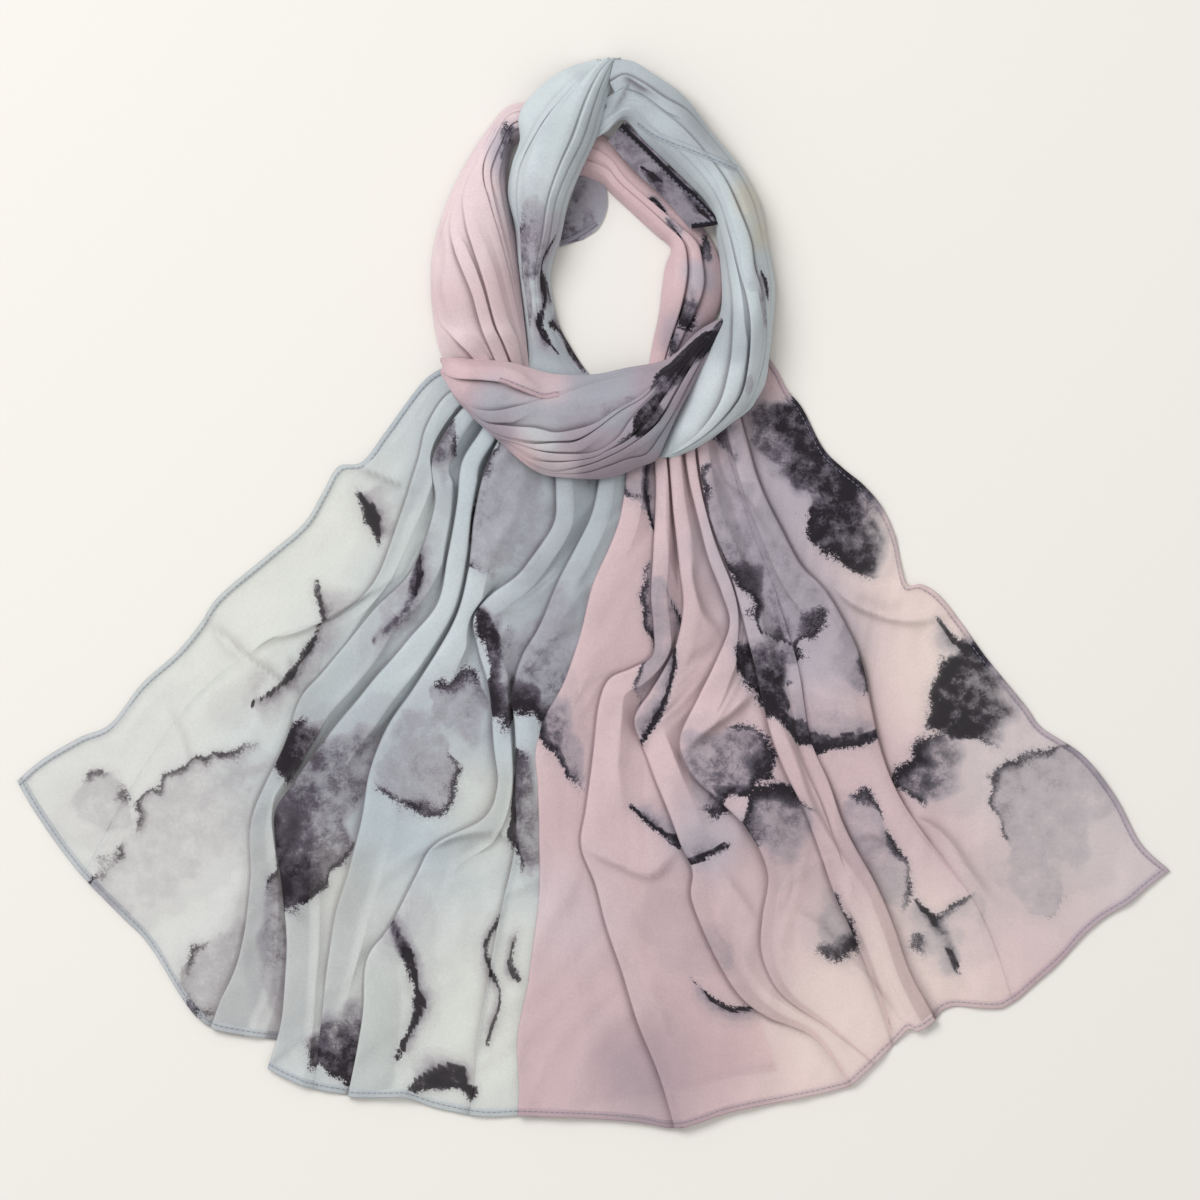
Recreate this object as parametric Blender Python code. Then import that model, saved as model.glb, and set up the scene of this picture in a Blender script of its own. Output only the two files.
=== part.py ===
"""A chiffon scarf, wound once as round a neck and laid out flat on a table.

One panel of cloth, 1.8 m by 0.7 m, shown as nine stretches. Each stretch is a closed solid of its own.
The two falls are walls of cloth with knife pleats folded into them. The strands round the neck hole are
gathered, so their hidden layers share one rounded solid, pleated on top and layered at its edges.
All tables are in millimetres, seen from above: +X right, +Y towards the top of the loop, Z = 0 the table.
"""

import math
from collections import namedtuple

import bmesh
import bpy
from mathutils import Vector
from mathutils.geometry import tessellate_polygon

MM = 0.001
WALL = 1.2  # thickness of the cloth's wall
CLEAR = 0.6  # clear space between two layers of one wall
LAYER = WALL + CLEAR  # height from one layer to the next
LOW = WALL / 2  # middle of a wall that lies on the table

FALL_STATIONS = 27  # sections along a fall, from the crossing to its hem
STRAND_STATIONS = 15  # sections along a strand
LINE_SAMPLES = 16  # samples between two points of a line
TANGENT_SPAN = 0.035  # share of a line over which its direction is read

LEAST_OVERLAP = 2.6  # how far a fold is tucked in where it runs out
SHOULDER = 3.0  # how far past the tuck the top layer stays up
ROUND = 4.0  # how far from the crest the top layer is highest
PUFF = 0.8  # height of that roundness
MOST_LAP = 0.6  # the most of the room ahead that a fold's overlap and shoulder take
PAST_TUCK = 0.7  # height of the top layer just past the tuck, as a share of the fold's rise
PANEL_SAG = 0.6  # how much of its ends' mean height the middle of a panel keeps
FULL_ROOM = 16.0  # spacing of the folds below which they are drawn smaller
LEAST_ROOM = 3.0  # least spacing of two folds
DROP = 3.0  # how far past the last fold the cloth is down on the table
UNDER_REACH = (14.0, 9.5)  # under a turned edge: where the cloth leaves the table, and where it is up
EDGE_LEDGES = (0.05, 0.11)  # layers that show at each edge of a strand, as shares of its width
LEDGE_DEPTH = 1.6
STEP_SHARE = 0.008  # width of a pleat's steep side, as a share of the strand's width
ARCH_POWER = 2.6  # how square the arch of a strand's top is
SIDE_SHARE = 0.22  # height of a strand's upright sides, as a share of its own height
EDGE_RELIEF = 0.35  # share of their depth that pleats keep at a strand's edges
LEAST_SIDE = 0.5  # least height of a strand's side
LEAST_MITRE = 0.35  # limit on how far a wall's sharp corner is drawn out

TO_LEFT = 1  # the fold's edge shows on its left, and the cloth on its right lies on top
TO_RIGHT = -1
EDGE_TURN = 2  # the cloth starts underneath and turns to the top here, with its edge on the left

# A line runs from the crossing to the hem. rise and overlap are given at the crossing, the quarter points
# and the hem.
# lead: how much further than the tucked layer the top layer reaches at the hem. lift: what it lies on.
Fold = namedtuple("Fold", "name faces rise overlap lead lift line")

LEFT_SIDE_HEM = (
    (-80, 131), (-88, 129.5), (-100, 121), (-120, 94), (-134, 76), (-148, 73), (-157, 58), (-168, 40),
    (-190, 21), (-217, -2), (-228, -18), (-242, -35), (-262, -53), (-280, -76), (-298, -84), (-320, -97),
    (-333, -109),
)
LEFT_FOLDS = (
    Fold("first", TO_LEFT, (5, 7, 6, 4, 3), (4, 8, 9, 4, 2), 0, 0, (
        (-71.5, 119.5), (-85, 114), (-97, 96), (-102, 76), (-112, 48), (-126, 8), (-150, -14), (-187, -27),
        (-230, -60), (-268, -112), (-296, -163))),
    Fold("second", TO_LEFT, (6, 9, 10, 7, 4), (4, 9, 16, 18, 20), 2, 0, (
        (-62.5, 115.5), (-77, 105), (-89, 88), (-94, 72), (-92, 50), (-105, 14), (-128, -11), (-156, -45),
        (-170, -62), (-181, -92), (-199, -134), (-199, -170), (-206, -212), (-217, -238), (-222, -253))),
    Fold("third", TO_LEFT, (6, 10, 10, 8, 4), (4, 7, 13, 24, 26), 16, 0, (
        (-53.5, 112), (-66, 93), (-76, 76), (-79, 52), (-84, 25), (-90, -5), (-108, -27), (-130, -54),
        (-146, -72), (-160, -92), (-172, -108), (-184, -124), (-185, -140), (-180, -170), (-178, -210),
        (-181, -245), (-189, -275))),
    Fold("fourth", TO_LEFT, (6, 10, 10, 7, 3), (4, 6, 14, 16, 4), 0, 0, (
        (-44, 110), (-55, 88), (-63, 70), (-69, 45), (-72, 15), (-79, -12), (-91, -35), (-105, -56),
        (-120, -78), (-130, -104), (-136, -136), (-142, -162), (-150, -186), (-154, -215), (-158, -250),
        (-162, -286))),
    Fold("fifth", TO_LEFT, (5, 9, 9, 8, 5), (4, 6, 8, 16, 24), 6, 0, (
        (-24, 109), (-23, 85), (-22, 58), (-24, 38), (-42, 14), (-56, 0), (-65, -14), (-65, -34),
        (-60, -58), (-58, -90), (-56, -112), (-64, -131), (-92, -146), (-103, -165), (-120, -195),
        (-131, -213), (-134, -245), (-142, -292))),
    Fold("sixth", TO_LEFT, (4, 8, 6, 3, 3), (3, 6, 4, 3, 3), 0, 0, (
        (4, 108), (4, 80), (1, 50), (-10, 27), (-22, 4), (-32, -20), (-42, -38), (-47, -58), (-46, -80),
        (-45, -110), (-46, -150), (-54, -190), (-64, -240), (-72, -302))),
)
LEFT_INNER_EDGE = (
    (22, 108), (25, 80), (25, 60), (20, 40), (12, 15), (4, -8), (-4, -35), (-12, -60), (-21, -84),
    (-26, -110), (-25, -150), (-28, -200), (-34, -250), (-37, -302),
)

RIGHT_INNER_EDGE = (
    (38, 110), (42, 75), (44, 45), (46, 10), (50, -40), (56, -90), (66, -150), (84, -212), (106, -277),
)
RIGHT_FOLDS = (
    Fold("edge", EDGE_TURN, (4, 6, 8, 7, 6), (6, 6, 6, 6, 6), 0, 0, (
        (14, 109), (18, 88), (19, 66), (15, 45), (8, 25), (0, 5), (-6, -20), (-13, -40), (-19, -55),
        (-28, -73), (-34, -93), (-32, -112), (-31, -135), (-32, -175), (-37, -215), (-43, -260),
        (-44, -303))),
    Fold("first", TO_LEFT, (3, 6, 9, 7, 4), (3, 4, 10, 14, 10), 2, LAYER, (
        (30, 109), (35, 80), (36, 52), (35, 25), (33, 0), (35, -20), (34, -36), (22, -43), (9, -50),
        (3, -65), (0, -88), (-4, -125), (-7, -147), (1, -170), (11, -203), (24, -242), (37, -276),
        (47, -309.2))),
    Fold("second", TO_LEFT, (7.8, 8.2, 9, 8, 3), (3, 4, 10, 16, 4), 0, LAYER, (
        (40, 109), (44, 78), (46, 48), (50, 15), (52, -8), (47, -32), (33, -56), (23, -74), (32, -98),
        (41, -122), (50, -144), (58, -161), (57, -178), (68, -206), (84, -232), (102, -246),
        (128, -257), (150, -284))),
    Fold("third", TO_LEFT, (7.8, 8.2, 9, 8, 3), (3, 5, 10, 10, 3), 0, LAYER, (
        (50, 109), (54, 75), (59, 50), (66, 22), (74, 0), (79, -18), (72, -38), (60, -62), (50, -86),
        (57, -106), (72, -120), (90, -138), (100, -162), (98, -188), (98, -212), (110, -234),
        (136, -252), (163, -273))),
    Fold("fourth", TO_LEFT, (3, 5, 8, 8, 3), (3, 4, 4.5, 5, 3), 0, LAYER, (
        (60, 110), (67, 76), (76, 42), (84, 6), (92, -32), (98, -62), (103, -82), (112, -104),
        (123, -126), (132, -152), (140, -177), (151, -200), (163, -228), (174, -262))),
    Fold("fifth", TO_RIGHT, (4, 5, 8, 8, 5), (3, 4, 4.5, 5, 6), -4, 0, (
        (72, 111), (81, 78), (92, 42), (106, 4), (116, -34), (122, -66), (128, -92), (138, -116),
        (150, -142), (164, -168), (174, -190), (183, -214), (198, -242))),
    Fold("sixth", TO_RIGHT, (4, 9, 9, 7, 3), (4, 12, 14, 8, 3), 0, 0, (
        (82.5, 113), (89, 88), (97, 62), (118, 20), (134, 2), (148, -22), (156, -42), (161, -66),
        (169, -96), (178, -118), (190, -138), (206, -160), (222, -182), (234, -210), (243, -239))),
)
RIGHT_SIDE_HEM = (
    (92, 128), (100, 136), (106, 130), (112, 118), (121, 107), (133, 84), (145, 72), (156, 63), (167, 50),
    (175, 32), (181, 6), (190, 5), (200, -1), (213, -17), (228, -38), (250, -65), (260, -78), (284, -94),
    (303, -118), (317, -144), (333, -160),
)

# Sections of a strand: its two ends across, seen from above, then its underside and its crown in height.
Section = namedtuple("Section", "left_x left_y right_x right_y under crown")
# Pleats along a strand: where each lies across it, at the first, middle and last section.
Pleat = namedtuple("Pleat", "faces depth first middle last")

STRANDS = {
    "outer_left_strand": {
        "sections": (
            Section(-88, 138, -38.2, 134.5, 0, 20), Section(-92, 155, -39.4, 150, 0, 23),
            Section(-94, 176, -41.8, 172, 0, 25), Section(-93, 198, -44, 192, 0, 26),
            Section(-86, 223, -46, 214, 0, 26), Section(-76, 245, -49.6, 234, 0, 24),
            Section(-63, 266, -49, 250, 0, 17), Section(-50, 281, -44.5, 261, 0, 9.6),
            Section(-36, 284, -34, 263, 0, 9.4), Section(-12, 281, -12, 260, 0, 9.4),
        ),
        "pleats": (
            Pleat(TO_RIGHT, 3.2, 0.34, 0.22, 0.2), Pleat(TO_RIGHT, 2.8, 0.52, 0.38, 0.36),
            Pleat(TO_RIGHT, 3.2, 0.72, 0.55, 0.5), Pleat(TO_RIGHT, 2.6, 0.85, 0.78, 0.66),
        ),
    },
    "inner_left_strand": {
        "sections": (
            Section(-34, 112.5, 2, 112.5, 0, 7.4), Section(-37, 130, -1, 124, 0, 7.6),
            Section(-37.6, 139, -7, 132.5, 0, 10), Section(-38.4, 149, -13, 142, 0, 14),
            Section(-40.2, 166, -21, 158, 0, 18),
            Section(-43, 190, -25, 182, 0, 21), Section(-44.6, 212, -20, 206, 0, 24),
            Section(-48.5, 231, -14.5, 227, 4, 27), Section(-46.5, 248, -7, 245, 10.8, 31),
            Section(-42, 262, 0.8, 262, 11.2, 33), Section(-43, 276, 5.2, 277, 11.2, 33),
            Section(-35, 289, 9, 290, 11, 32), Section(-17, 303, 13, 303, 4, 26),
            Section(0, 309, 15.6, 309.5, 1, 16),
        ),
        "pleats": (
            Pleat(TO_LEFT, 2.6, 0.2, 0.2, 0.3), Pleat(TO_LEFT, 2.4, 0.42, 0.4, 0.46),
            Pleat(TO_LEFT, 2.4, 0.62, 0.62, 0.64), Pleat(TO_RIGHT, 2.2, 0.8, 0.82, 0.8),
        ),
    },
    "outer_right_strand": {
        "sections": (
            Section(2.6, 264.5, 17.4, 309.5, 11.2, 30), Section(17.8, 274.2, 33, 301.5, 11.2, 31),
            Section(29, 262.5, 52, 288, 10, 31), Section(40.5, 251, 68, 267, 6, 30),
            Section(53, 238.5, 84, 248, 2, 30), Section(66, 223.5, 96, 226, 0, 29),
            Section(71.5, 205, 101, 201, 0, 28), Section(74.2, 184, 105, 178, 0, 28),
            Section(73.8, 163, 104, 158, 4, 28), Section(66.1, 145, 102, 140, 9, 29),
            Section(57.1, 124, 98, 118, 9, 29), Section(49, 105, 83, 101, 9, 27),
            Section(42.2, 89, 63, 86, 9, 22), Section(37.9, 79, 46, 78, 9, 15),
        ),
        "pleats": (
            Pleat(TO_LEFT, 2.6, 0.16, 0.18, 0.3), Pleat(TO_LEFT, 2.8, 0.34, 0.38, 0.48),
            Pleat(TO_LEFT, 2.6, 0.5, 0.55, 0.62), Pleat(TO_LEFT, 2.4, 0.66, 0.72, 0.76),
            Pleat(TO_LEFT, 2.0, 0.82, 0.85, 0.86),
        ),
    },
    "inner_right_strand": {
        "sections": (
            Section(-11.6, 243, -11.6, 276, 0, 10), Section(4, 238, 9, 261, 0, 10),
            Section(11, 231, 24, 243, 0, 10), Section(24, 219, 40, 228, 0, 10),
            Section(36, 208, 62, 210.5, 0, 10.4), Section(41, 193, 70, 195, 0, 13),
            Section(40.5, 177, 73, 179, 0, 15), Section(38.5, 161, 72, 162, 0, 13),
            Section(35.5, 147, 63, 147.5, 0, 8.4), Section(33, 134, 57, 134, 0, 7.8),
            Section(28, 113.5, 64, 113.5, 0, 7.4),
        ),
        "pleats": (
            Pleat(TO_LEFT, 1.6, 0.3, 0.36, 0.3), Pleat(TO_LEFT, 1.8, 0.5, 0.55, 0.5),
            Pleat(TO_LEFT, 1.6, 0.7, 0.75, 0.7),
        ),
    },
    "front_band": {
        "sections": (
            Section(70.5, 157, 37, 78.5, 9, 25), Section(52, 142, 22, 72, 9, 29),
            Section(38, 133, 10, 67.5, 9, 31), Section(18, 130, -4, 67.5, 9, 32),
            Section(0, 126.5, -18, 69, 9, 33), Section(-22, 127, -36, 72, 9, 33),
            Section(-42, 131.5, -52, 84, 9, 32), Section(-62, 134.5, -68, 99, 9, 30),
            Section(-79, 135.6, -79, 113, 9, 26), Section(-87.5, 136, -86, 127, 9, 18),
        ),
        "pleats": (
            Pleat(TO_RIGHT, 3.0, 0.16, 0.24, 0.28), Pleat(TO_RIGHT, 3.6, 0.28, 0.5, 0.46),
            Pleat(TO_RIGHT, 2.6, 0.4, 0.62, 0.58), Pleat(TO_RIGHT, 2.6, 0.54, 0.73, 0.7),
            Pleat(TO_RIGHT, 2.4, 0.7, 0.83, 0.81),
        ),
    },
}

# Loose edges: thin walls that show at the neck hole.
Leaf = namedtuple("Leaf", "left_x left_y right_x right_y height")
LEAVES = {
    "top_lappet": (
        Leaf(-19.2, 203, -8, 205, LOW), Leaf(-17.2, 214, 3, 213, LOW), Leaf(-13.4, 226, 8, 224, LOW),
        Leaf(-9.6, 241.7, 3.4, 237.6, LOW),
    ),
    "turned_edge": (
        Leaf(9.4, 260.6, 18.2, 272.2, 12.4), Leaf(24, 244, 34.3, 256.2, 12.6), Leaf(41, 228, 51.8, 238.9, 12.8),
        Leaf(57, 211, 68.3, 213.5, 13),
    ),
}
LEAF_STATIONS = 9
LEAF_ACROSS = 6
LEAF_WAVE = 0.5  # half height of the soft wave in a raised leaf

# Colour, roughness of each stretch.
CLOTH = {
    "left_fall": ((0.62, 0.67, 0.68), 0.86),
    "inner_left_strand": ((0.58, 0.66, 0.69), 0.86),
    "outer_right_strand": ((0.62, 0.70, 0.72), 0.86),
    "front_band": ((0.44, 0.46, 0.50), 0.86),
    "outer_left_strand": ((0.73, 0.56, 0.58), 0.86),
    "inner_right_strand": ((0.74, 0.57, 0.58), 0.86),
    "right_fall": ((0.72, 0.57, 0.59), 0.86),
    "top_lappet": ((0.42, 0.41, 0.44), 0.86),
    "turned_edge": ((0.22, 0.21, 0.25), 0.86),
}


def clear_scene():
    for thing in list(bpy.data.objects):
        bpy.data.objects.remove(thing, do_unlink=True)


def cloth_material(name):
    colour, roughness = CLOTH[name]
    material = bpy.data.materials.new(name + "_chiffon")
    material.use_nodes = True
    shader = material.node_tree.nodes["Principled BSDF"]
    shader.inputs["Base Color"].default_value = (*colour, 1.0)
    shader.inputs["Roughness"].default_value = roughness
    shader.inputs["Metallic"].default_value = 0.0
    material.diffuse_color = (*colour, 1.0)
    return material


def ease(value):
    """A smooth step from 0 to 1."""
    value = min(1.0, max(0.0, value))
    return value * value * (3.0 - 2.0 * value)


def spline(values, place):
    """The value at place, 0 to 1, on a smooth curve through evenly spaced values."""
    last = len(values) - 1
    scaled = min(max(place, 0.0), 1.0) * last
    k = min(int(scaled), last - 1)
    u = scaled - k
    before = values[max(k - 1, 0)]
    here = values[k]
    after = values[k + 1]
    beyond = values[min(k + 2, last)]
    slope_here = (after - before) * 0.5
    slope_after = (beyond - here) * 0.5
    cubed = u * u * u
    squared = u * u
    return (here * (2 * cubed - 3 * squared + 1) + slope_here * (cubed - 2 * squared + u)
            + after * (3 * squared - 2 * cubed) + slope_after * (cubed - squared))


def eased(values, place):
    """The value at place, 0 to 1, eased between evenly spaced values, with no overshoot."""
    last = len(values) - 1
    scaled = min(max(place, 0.0), 1.0) * last
    k = min(int(scaled), last - 1)
    return values[k] + (values[k + 1] - values[k]) * ease(scaled - k)


class Line:
    """A smooth line through points seen from above, read by its share of length."""

    def __init__(self, points):
        ends = [Vector(point) for point in points]
        count = (len(ends) - 1) * LINE_SAMPLES
        self.samples = [spline(ends, i / count) for i in range(count + 1)]
        self.lengths = [0.0]
        for a, b in zip(self.samples, self.samples[1:]):
            self.lengths.append(self.lengths[-1] + (b - a).length)

    def at(self, share):
        wanted = min(max(share, 0.0), 1.0) * self.lengths[-1]
        k = 0
        while k < len(self.lengths) - 2 and self.lengths[k + 1] < wanted:
            k += 1
        span = self.lengths[k + 1] - self.lengths[k]
        return self.samples[k].lerp(self.samples[k + 1], (wanted - self.lengths[k]) / span)

    def rightward(self, share):
        """The unit vector to the right of a line that runs down."""
        along = self.at(share + TANGENT_SPAN) - self.at(share - TANGENT_SPAN)
        return Vector((-along.y, along.x)).normalized()


def room_between(a, b, share):
    """How far line b lies to the right of line a."""
    right = (a.rightward(share) + b.rightward(share)).normalized()
    return max(LEAST_ROOM, (b.at(share) - a.at(share)).dot(right))


def fold_points(fold, line, share, room_before, room_after):
    """The points that a section passes at one fold, in the order of the cloth, as (place, height, right)."""
    crest = line.at(share)
    right = line.rightward(share)
    if fold.faces == TO_RIGHT:
        room_ahead, room_behind = room_before, room_after
        onward = -right
    else:
        room_ahead, room_behind = room_after, room_before
        onward = right
    squeeze = min(1.0, room_ahead / FULL_ROOM, room_behind / FULL_ROOM)
    overlap = max(LEAST_OVERLAP, min(eased(fold.overlap, share), MOST_LAP * room_ahead - SHOULDER))
    low = LOW + fold.lift
    middle = low + LAYER
    top = low + max(2.0 * LAYER, eased(fold.rise, share) * squeeze)
    past_tuck = max(low + 2.0 * LAYER, low + PAST_TUCK * (top - low))
    tuck_share = share - fold.lead / line.lengths[-1] * share * share
    tuck = line.at(tuck_share) + line.rightward(tuck_share) * (overlap if fold.faces != TO_RIGHT else -overlap)
    points = [
        (crest - onward, low, right),
        (tuck, low, right),
        (tuck, middle, right),
        (crest, middle, right),
        (crest, top, right),
        (crest + onward * min(ROUND, overlap / 2), top + PUFF, right),
        (crest + onward * (overlap + SHOULDER * squeeze), past_tuck, right),
    ]
    if fold.faces == EDGE_TURN:
        far, near = UNDER_REACH
        return [(crest + right * far, LOW, right), (crest + right * near, middle, right)] + points[3:]
    if fold.faces == TO_RIGHT:
        points.reverse()
    return points


def fall_section(first_edge, folds, last_edge, share):
    """One section across a fall, as (place, height, right) from its first side hem to its last."""
    lines = [first_edge] + [line for _, line in folds] + [last_edge]
    rooms = [room_between(a, b, share) for a, b in zip(lines, lines[1:])]
    if folds[0][0].faces == EDGE_TURN:
        rooms[0] = rooms[1]
    section = [(first_edge.at(share), LOW, first_edge.rightward(share))]
    for k, (fold, line) in enumerate(folds):
        points = fold_points(fold, line, share, rooms[k], rooms[k + 1])
        section.append(between(section[-1], points[0]))
        section.extend(points)
    down = section[-1][0] + section[-1][2] * DROP
    end = (last_edge.at(share), LOW, last_edge.rightward(share))
    section.append((down, LOW, section[-1][2]))
    section.append(between(section[-1], end))
    section.append(end)
    return section


def between(a, b):
    """The middle of the panel between two points, nearer to the lower one's height."""
    lower = min(a[1], b[1])
    height = lower + ((a[1] + b[1]) / 2 - lower) * PANEL_SAG
    return ((a[0] + b[0]) / 2, height, (a[2] + b[2]).normalized())


def wall_sides(section):
    """The two faces of a wall whose middle runs through the section."""
    upper = []
    under = []
    for k, (place, height, right) in enumerate(section):
        normals = []
        for a, b in ((k - 1, k), (k, k + 1)):
            if a < 0 or b >= len(section):
                continue
            across = (section[b][0] - section[a][0]).dot(right)
            climb = section[b][1] - section[a][1]
            length = math.hypot(across, climb)
            normals.append((-climb / length, across / length))
        if len(normals) == 1:
            normals.append(normals[0])
        (ax, az), (bx, bz) = normals
        mitre = 1.0 / max(LEAST_MITRE, 1.0 + ax * bx + az * bz)
        out = Vector((ax + bx, az + bz)) * (mitre * WALL / 2)
        for side, sign in ((upper, 1.0), (under, -1.0)):
            spot = place + right * (out.x * sign)
            side.append(Vector((spot.x, spot.y, max(0.0, height + out.y * sign))))
    return upper, under


def loft(name, loops, close_ends):
    """A closed solid through equal loops of points. close_ends adds the faces of one end, from its vertices."""
    mesh = bmesh.new()
    rings = [[mesh.verts.new(point * MM) for point in loop] for loop in loops]
    for a, b in zip(rings, rings[1:]):
        for i in range(len(a)):
            j = (i + 1) % len(a)
            mesh.faces.new((a[i], a[j], b[j], b[i]))
    close_ends(mesh, rings[0])
    close_ends(mesh, rings[-1])
    bmesh.ops.triangulate(mesh, faces=mesh.faces[:], ngon_method="EAR_CLIP")
    bmesh.ops.recalc_face_normals(mesh, faces=mesh.faces[:])
    if mesh.calc_volume(signed=True) < 0.0:
        bmesh.ops.reverse_faces(mesh, faces=mesh.faces[:])
    data = bpy.data.meshes.new(name)
    mesh.to_mesh(data)
    mesh.free()
    solid = bpy.data.objects.new(name, data)
    bpy.context.collection.objects.link(solid)
    data.materials.append(cloth_material(name))
    return solid


def close_wall(mesh, ring):
    """Faces between the two sides of a wall's loop, which runs out on one side and back on the other."""
    half = len(ring) // 2
    for i in range(half - 1):
        mesh.faces.new((ring[i], ring[i + 1], ring[-2 - i], ring[-1 - i]))


def close_flat(mesh, ring):
    """Faces that fill an upright end, found in its own plane: distance along it, and height."""
    flat = [Vector(((vert.co.xy - ring[0].co.xy).length, vert.co.z, 0.0)) / MM for vert in ring]
    for corners in tessellate_polygon([flat]):
        mesh.faces.new([ring[i] for i in corners])


def make_fall(name, first_edge, folds, last_edge):
    first = Line(first_edge)
    last = Line(last_edge)
    lined = [(fold, Line(fold.line)) for fold in folds]
    loops = []
    for k in range(FALL_STATIONS):
        share = k / (FALL_STATIONS - 1)
        upper, under = wall_sides(fall_section(first, lined, last, share))
        loops.append(upper + under[::-1])
    loft(name, loops, close_wall)


def strand_profile(pleats, share):
    """Where a strand's top has points, and how far each stands off the smooth arch."""
    steps = [(place, TO_LEFT, LEDGE_DEPTH) for place in EDGE_LEDGES]
    for pleat in pleats:
        place = spline((pleat.first, pleat.middle, pleat.last), share)
        steps.append((place, pleat.faces, pleat.depth))
    steps.extend((1.0 - place, TO_RIGHT, LEDGE_DEPTH) for place in reversed(EDGE_LEDGES))
    profile = [(0.0, 0.0)]
    ledges = len(EDGE_LEDGES)
    for k, (place, faces, depth) in enumerate(steps):
        before = -0.5 * depth * faces
        if ledges <= k <= len(steps) - ledges:
            profile.append((0.5 * (place + steps[k - 1][0]), 0.0))
        profile.append((place - STEP_SHARE, before))
        profile.append((place + STEP_SHARE, -before))
    profile.append((1.0, 0.0))
    return profile


def make_strand(name, sections, pleats):
    columns = [[getattr(section, field) for section in sections] for field in Section._fields]
    loops = []
    for k in range(STRAND_STATIONS):
        share = k / (STRAND_STATIONS - 1)
        left_x, left_y, right_x, right_y, under, crown = (spline(column, share) for column in columns)
        left = Vector((left_x, left_y))
        right = Vector((right_x, right_y))
        under = max(0.0, under)
        side = under + SIDE_SHARE * (crown - under)
        loop = [Vector((*left, under))]
        for place, offset in strand_profile(pleats, share):
            arch = 1.0 - abs(2.0 * place - 1.0) ** ARCH_POWER
            height = side + (crown - side) * arch + offset * min(1.0, EDGE_RELIEF + arch)
            loop.append(Vector((*left.lerp(right, place), max(height, under + LEAST_SIDE))))
        loop.append(Vector((*right, under)))
        loops.append(loop)
    loft(name, loops, close_flat)


def make_leaf(name, rows):
    columns = [[getattr(row, field) for row in rows] for field in Leaf._fields]
    loops = []
    for k in range(LEAF_STATIONS):
        share = k / (LEAF_STATIONS - 1)
        left_x, left_y, right_x, right_y, height = (spline(column, share) for column in columns)
        left = Vector((left_x, left_y))
        right = Vector((right_x, right_y))
        upper = []
        under = []
        for i in range(LEAF_ACROSS + 1):
            place = left.lerp(right, i / LEAF_ACROSS)
            wave = LEAF_WAVE * math.sin(math.pi * (2.0 * i / LEAF_ACROSS + share)) if height > LAYER else 0.0
            upper.append(Vector((*place, height + wave + WALL / 2)))
            under.append(Vector((*place, height + wave - WALL / 2)))
        loops.append(upper + under[::-1])
    loft(name, loops, close_wall)


clear_scene()
make_fall("left_fall", LEFT_SIDE_HEM, LEFT_FOLDS, LEFT_INNER_EDGE)
make_fall("right_fall", RIGHT_INNER_EDGE, RIGHT_FOLDS, RIGHT_SIDE_HEM)
for strand_name, strand in STRANDS.items():
    make_strand(strand_name, strand["sections"], strand["pleats"])
for leaf_name, leaf_rows in LEAVES.items():
    make_leaf(leaf_name, leaf_rows)
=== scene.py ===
"""Looks of a chiffon scarf, wound once as round a neck and laid out flat.

Each stretch of the cloth is a folded sheet, made from lines drawn from one end of the stretch to the other.
Tables are in millimetres, seen from above: +X right, +Y towards the top of the loop, Z = 0 the table.
"""

import math
from collections import namedtuple

import bpy
import numpy as np
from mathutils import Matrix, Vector
from mathutils.bvhtree import BVHTree


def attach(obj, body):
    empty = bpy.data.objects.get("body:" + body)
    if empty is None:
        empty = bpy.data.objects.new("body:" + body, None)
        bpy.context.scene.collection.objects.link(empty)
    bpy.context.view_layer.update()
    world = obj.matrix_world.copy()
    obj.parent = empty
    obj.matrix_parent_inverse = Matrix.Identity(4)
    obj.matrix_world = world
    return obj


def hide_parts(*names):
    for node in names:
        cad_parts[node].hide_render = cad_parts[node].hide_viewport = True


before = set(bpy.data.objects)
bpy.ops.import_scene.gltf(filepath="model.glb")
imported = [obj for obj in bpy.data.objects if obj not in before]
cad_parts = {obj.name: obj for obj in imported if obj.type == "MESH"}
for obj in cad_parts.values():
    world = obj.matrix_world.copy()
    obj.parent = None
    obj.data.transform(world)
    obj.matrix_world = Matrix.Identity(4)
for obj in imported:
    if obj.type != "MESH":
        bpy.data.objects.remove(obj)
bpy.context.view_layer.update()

MM = 0.001
TINY = 1e-6
FAR = 1e9

# Folds. A pair is a limit: the most in millimetres, and the most as a share of the room there.
TO_LEFT = 1  # the fold's edge shows on its left, and the cloth on its right lies on top
TO_RIGHT = -1
EDGE_TURN = 2  # the cloth starts underneath and turns to the top here, with its edge on the left
LAYER = 0.9  # most height from one layer of cloth to the next
LAYER_RISE = 2.2  # a low fold's rise, in heights of its layer
LOW = 0.45  # height of a layer above what it lies on
SHOULDER = 5.0  # how far past the tuck the top layer stays up
MOST_SHOULDER = 0.8  # of the room ahead
MOST_OVERLAP = 0.55  # of the room ahead
FULL_ROOM = 12.0  # spacing of the folds below which they are drawn smaller
LEAST_ROOM = 0.6
DIRECTION_SPAN = 0.03  # share of a line over which its direction is read
CREST_STRAY = (0.9, 0.06)  # how far a fold's edge strays from its line
CREST_WAVE = 34
RISE_CHANGE = 0.12  # how much a fold's rise changes along it
RISE_WAVE = 50
FOLD_EDGE = (0.25, 0.1)  # half the thickness of a fold's edge
LIP_NEAR = (1.6, 0.3)  # from the crest to where the top layer is nearly up
LIP_WIDE = (7.0, 0.7)  # from the crest to where it is highest
LIP_SHARES = (0.3, 0.78, 0.94, 1.0, 0.9)  # its height from the crest to past the tuck, of its rise
TURN_SHARE = 1.05  # height of the cloth inside the fold's edge, in layers
TURNED_UNDER = (16.0, 9.0)  # how far in the cloth lies that starts underneath
DIVE = (1.0, 0.3)  # from the crest to where the cloth goes under it
# Painted shade: the values below darken the cloth's colour along each fold, carried as the grids' fourth
# value.
DIVE_SHADE = 0.7
LIP_SHADE = 0.6
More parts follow.
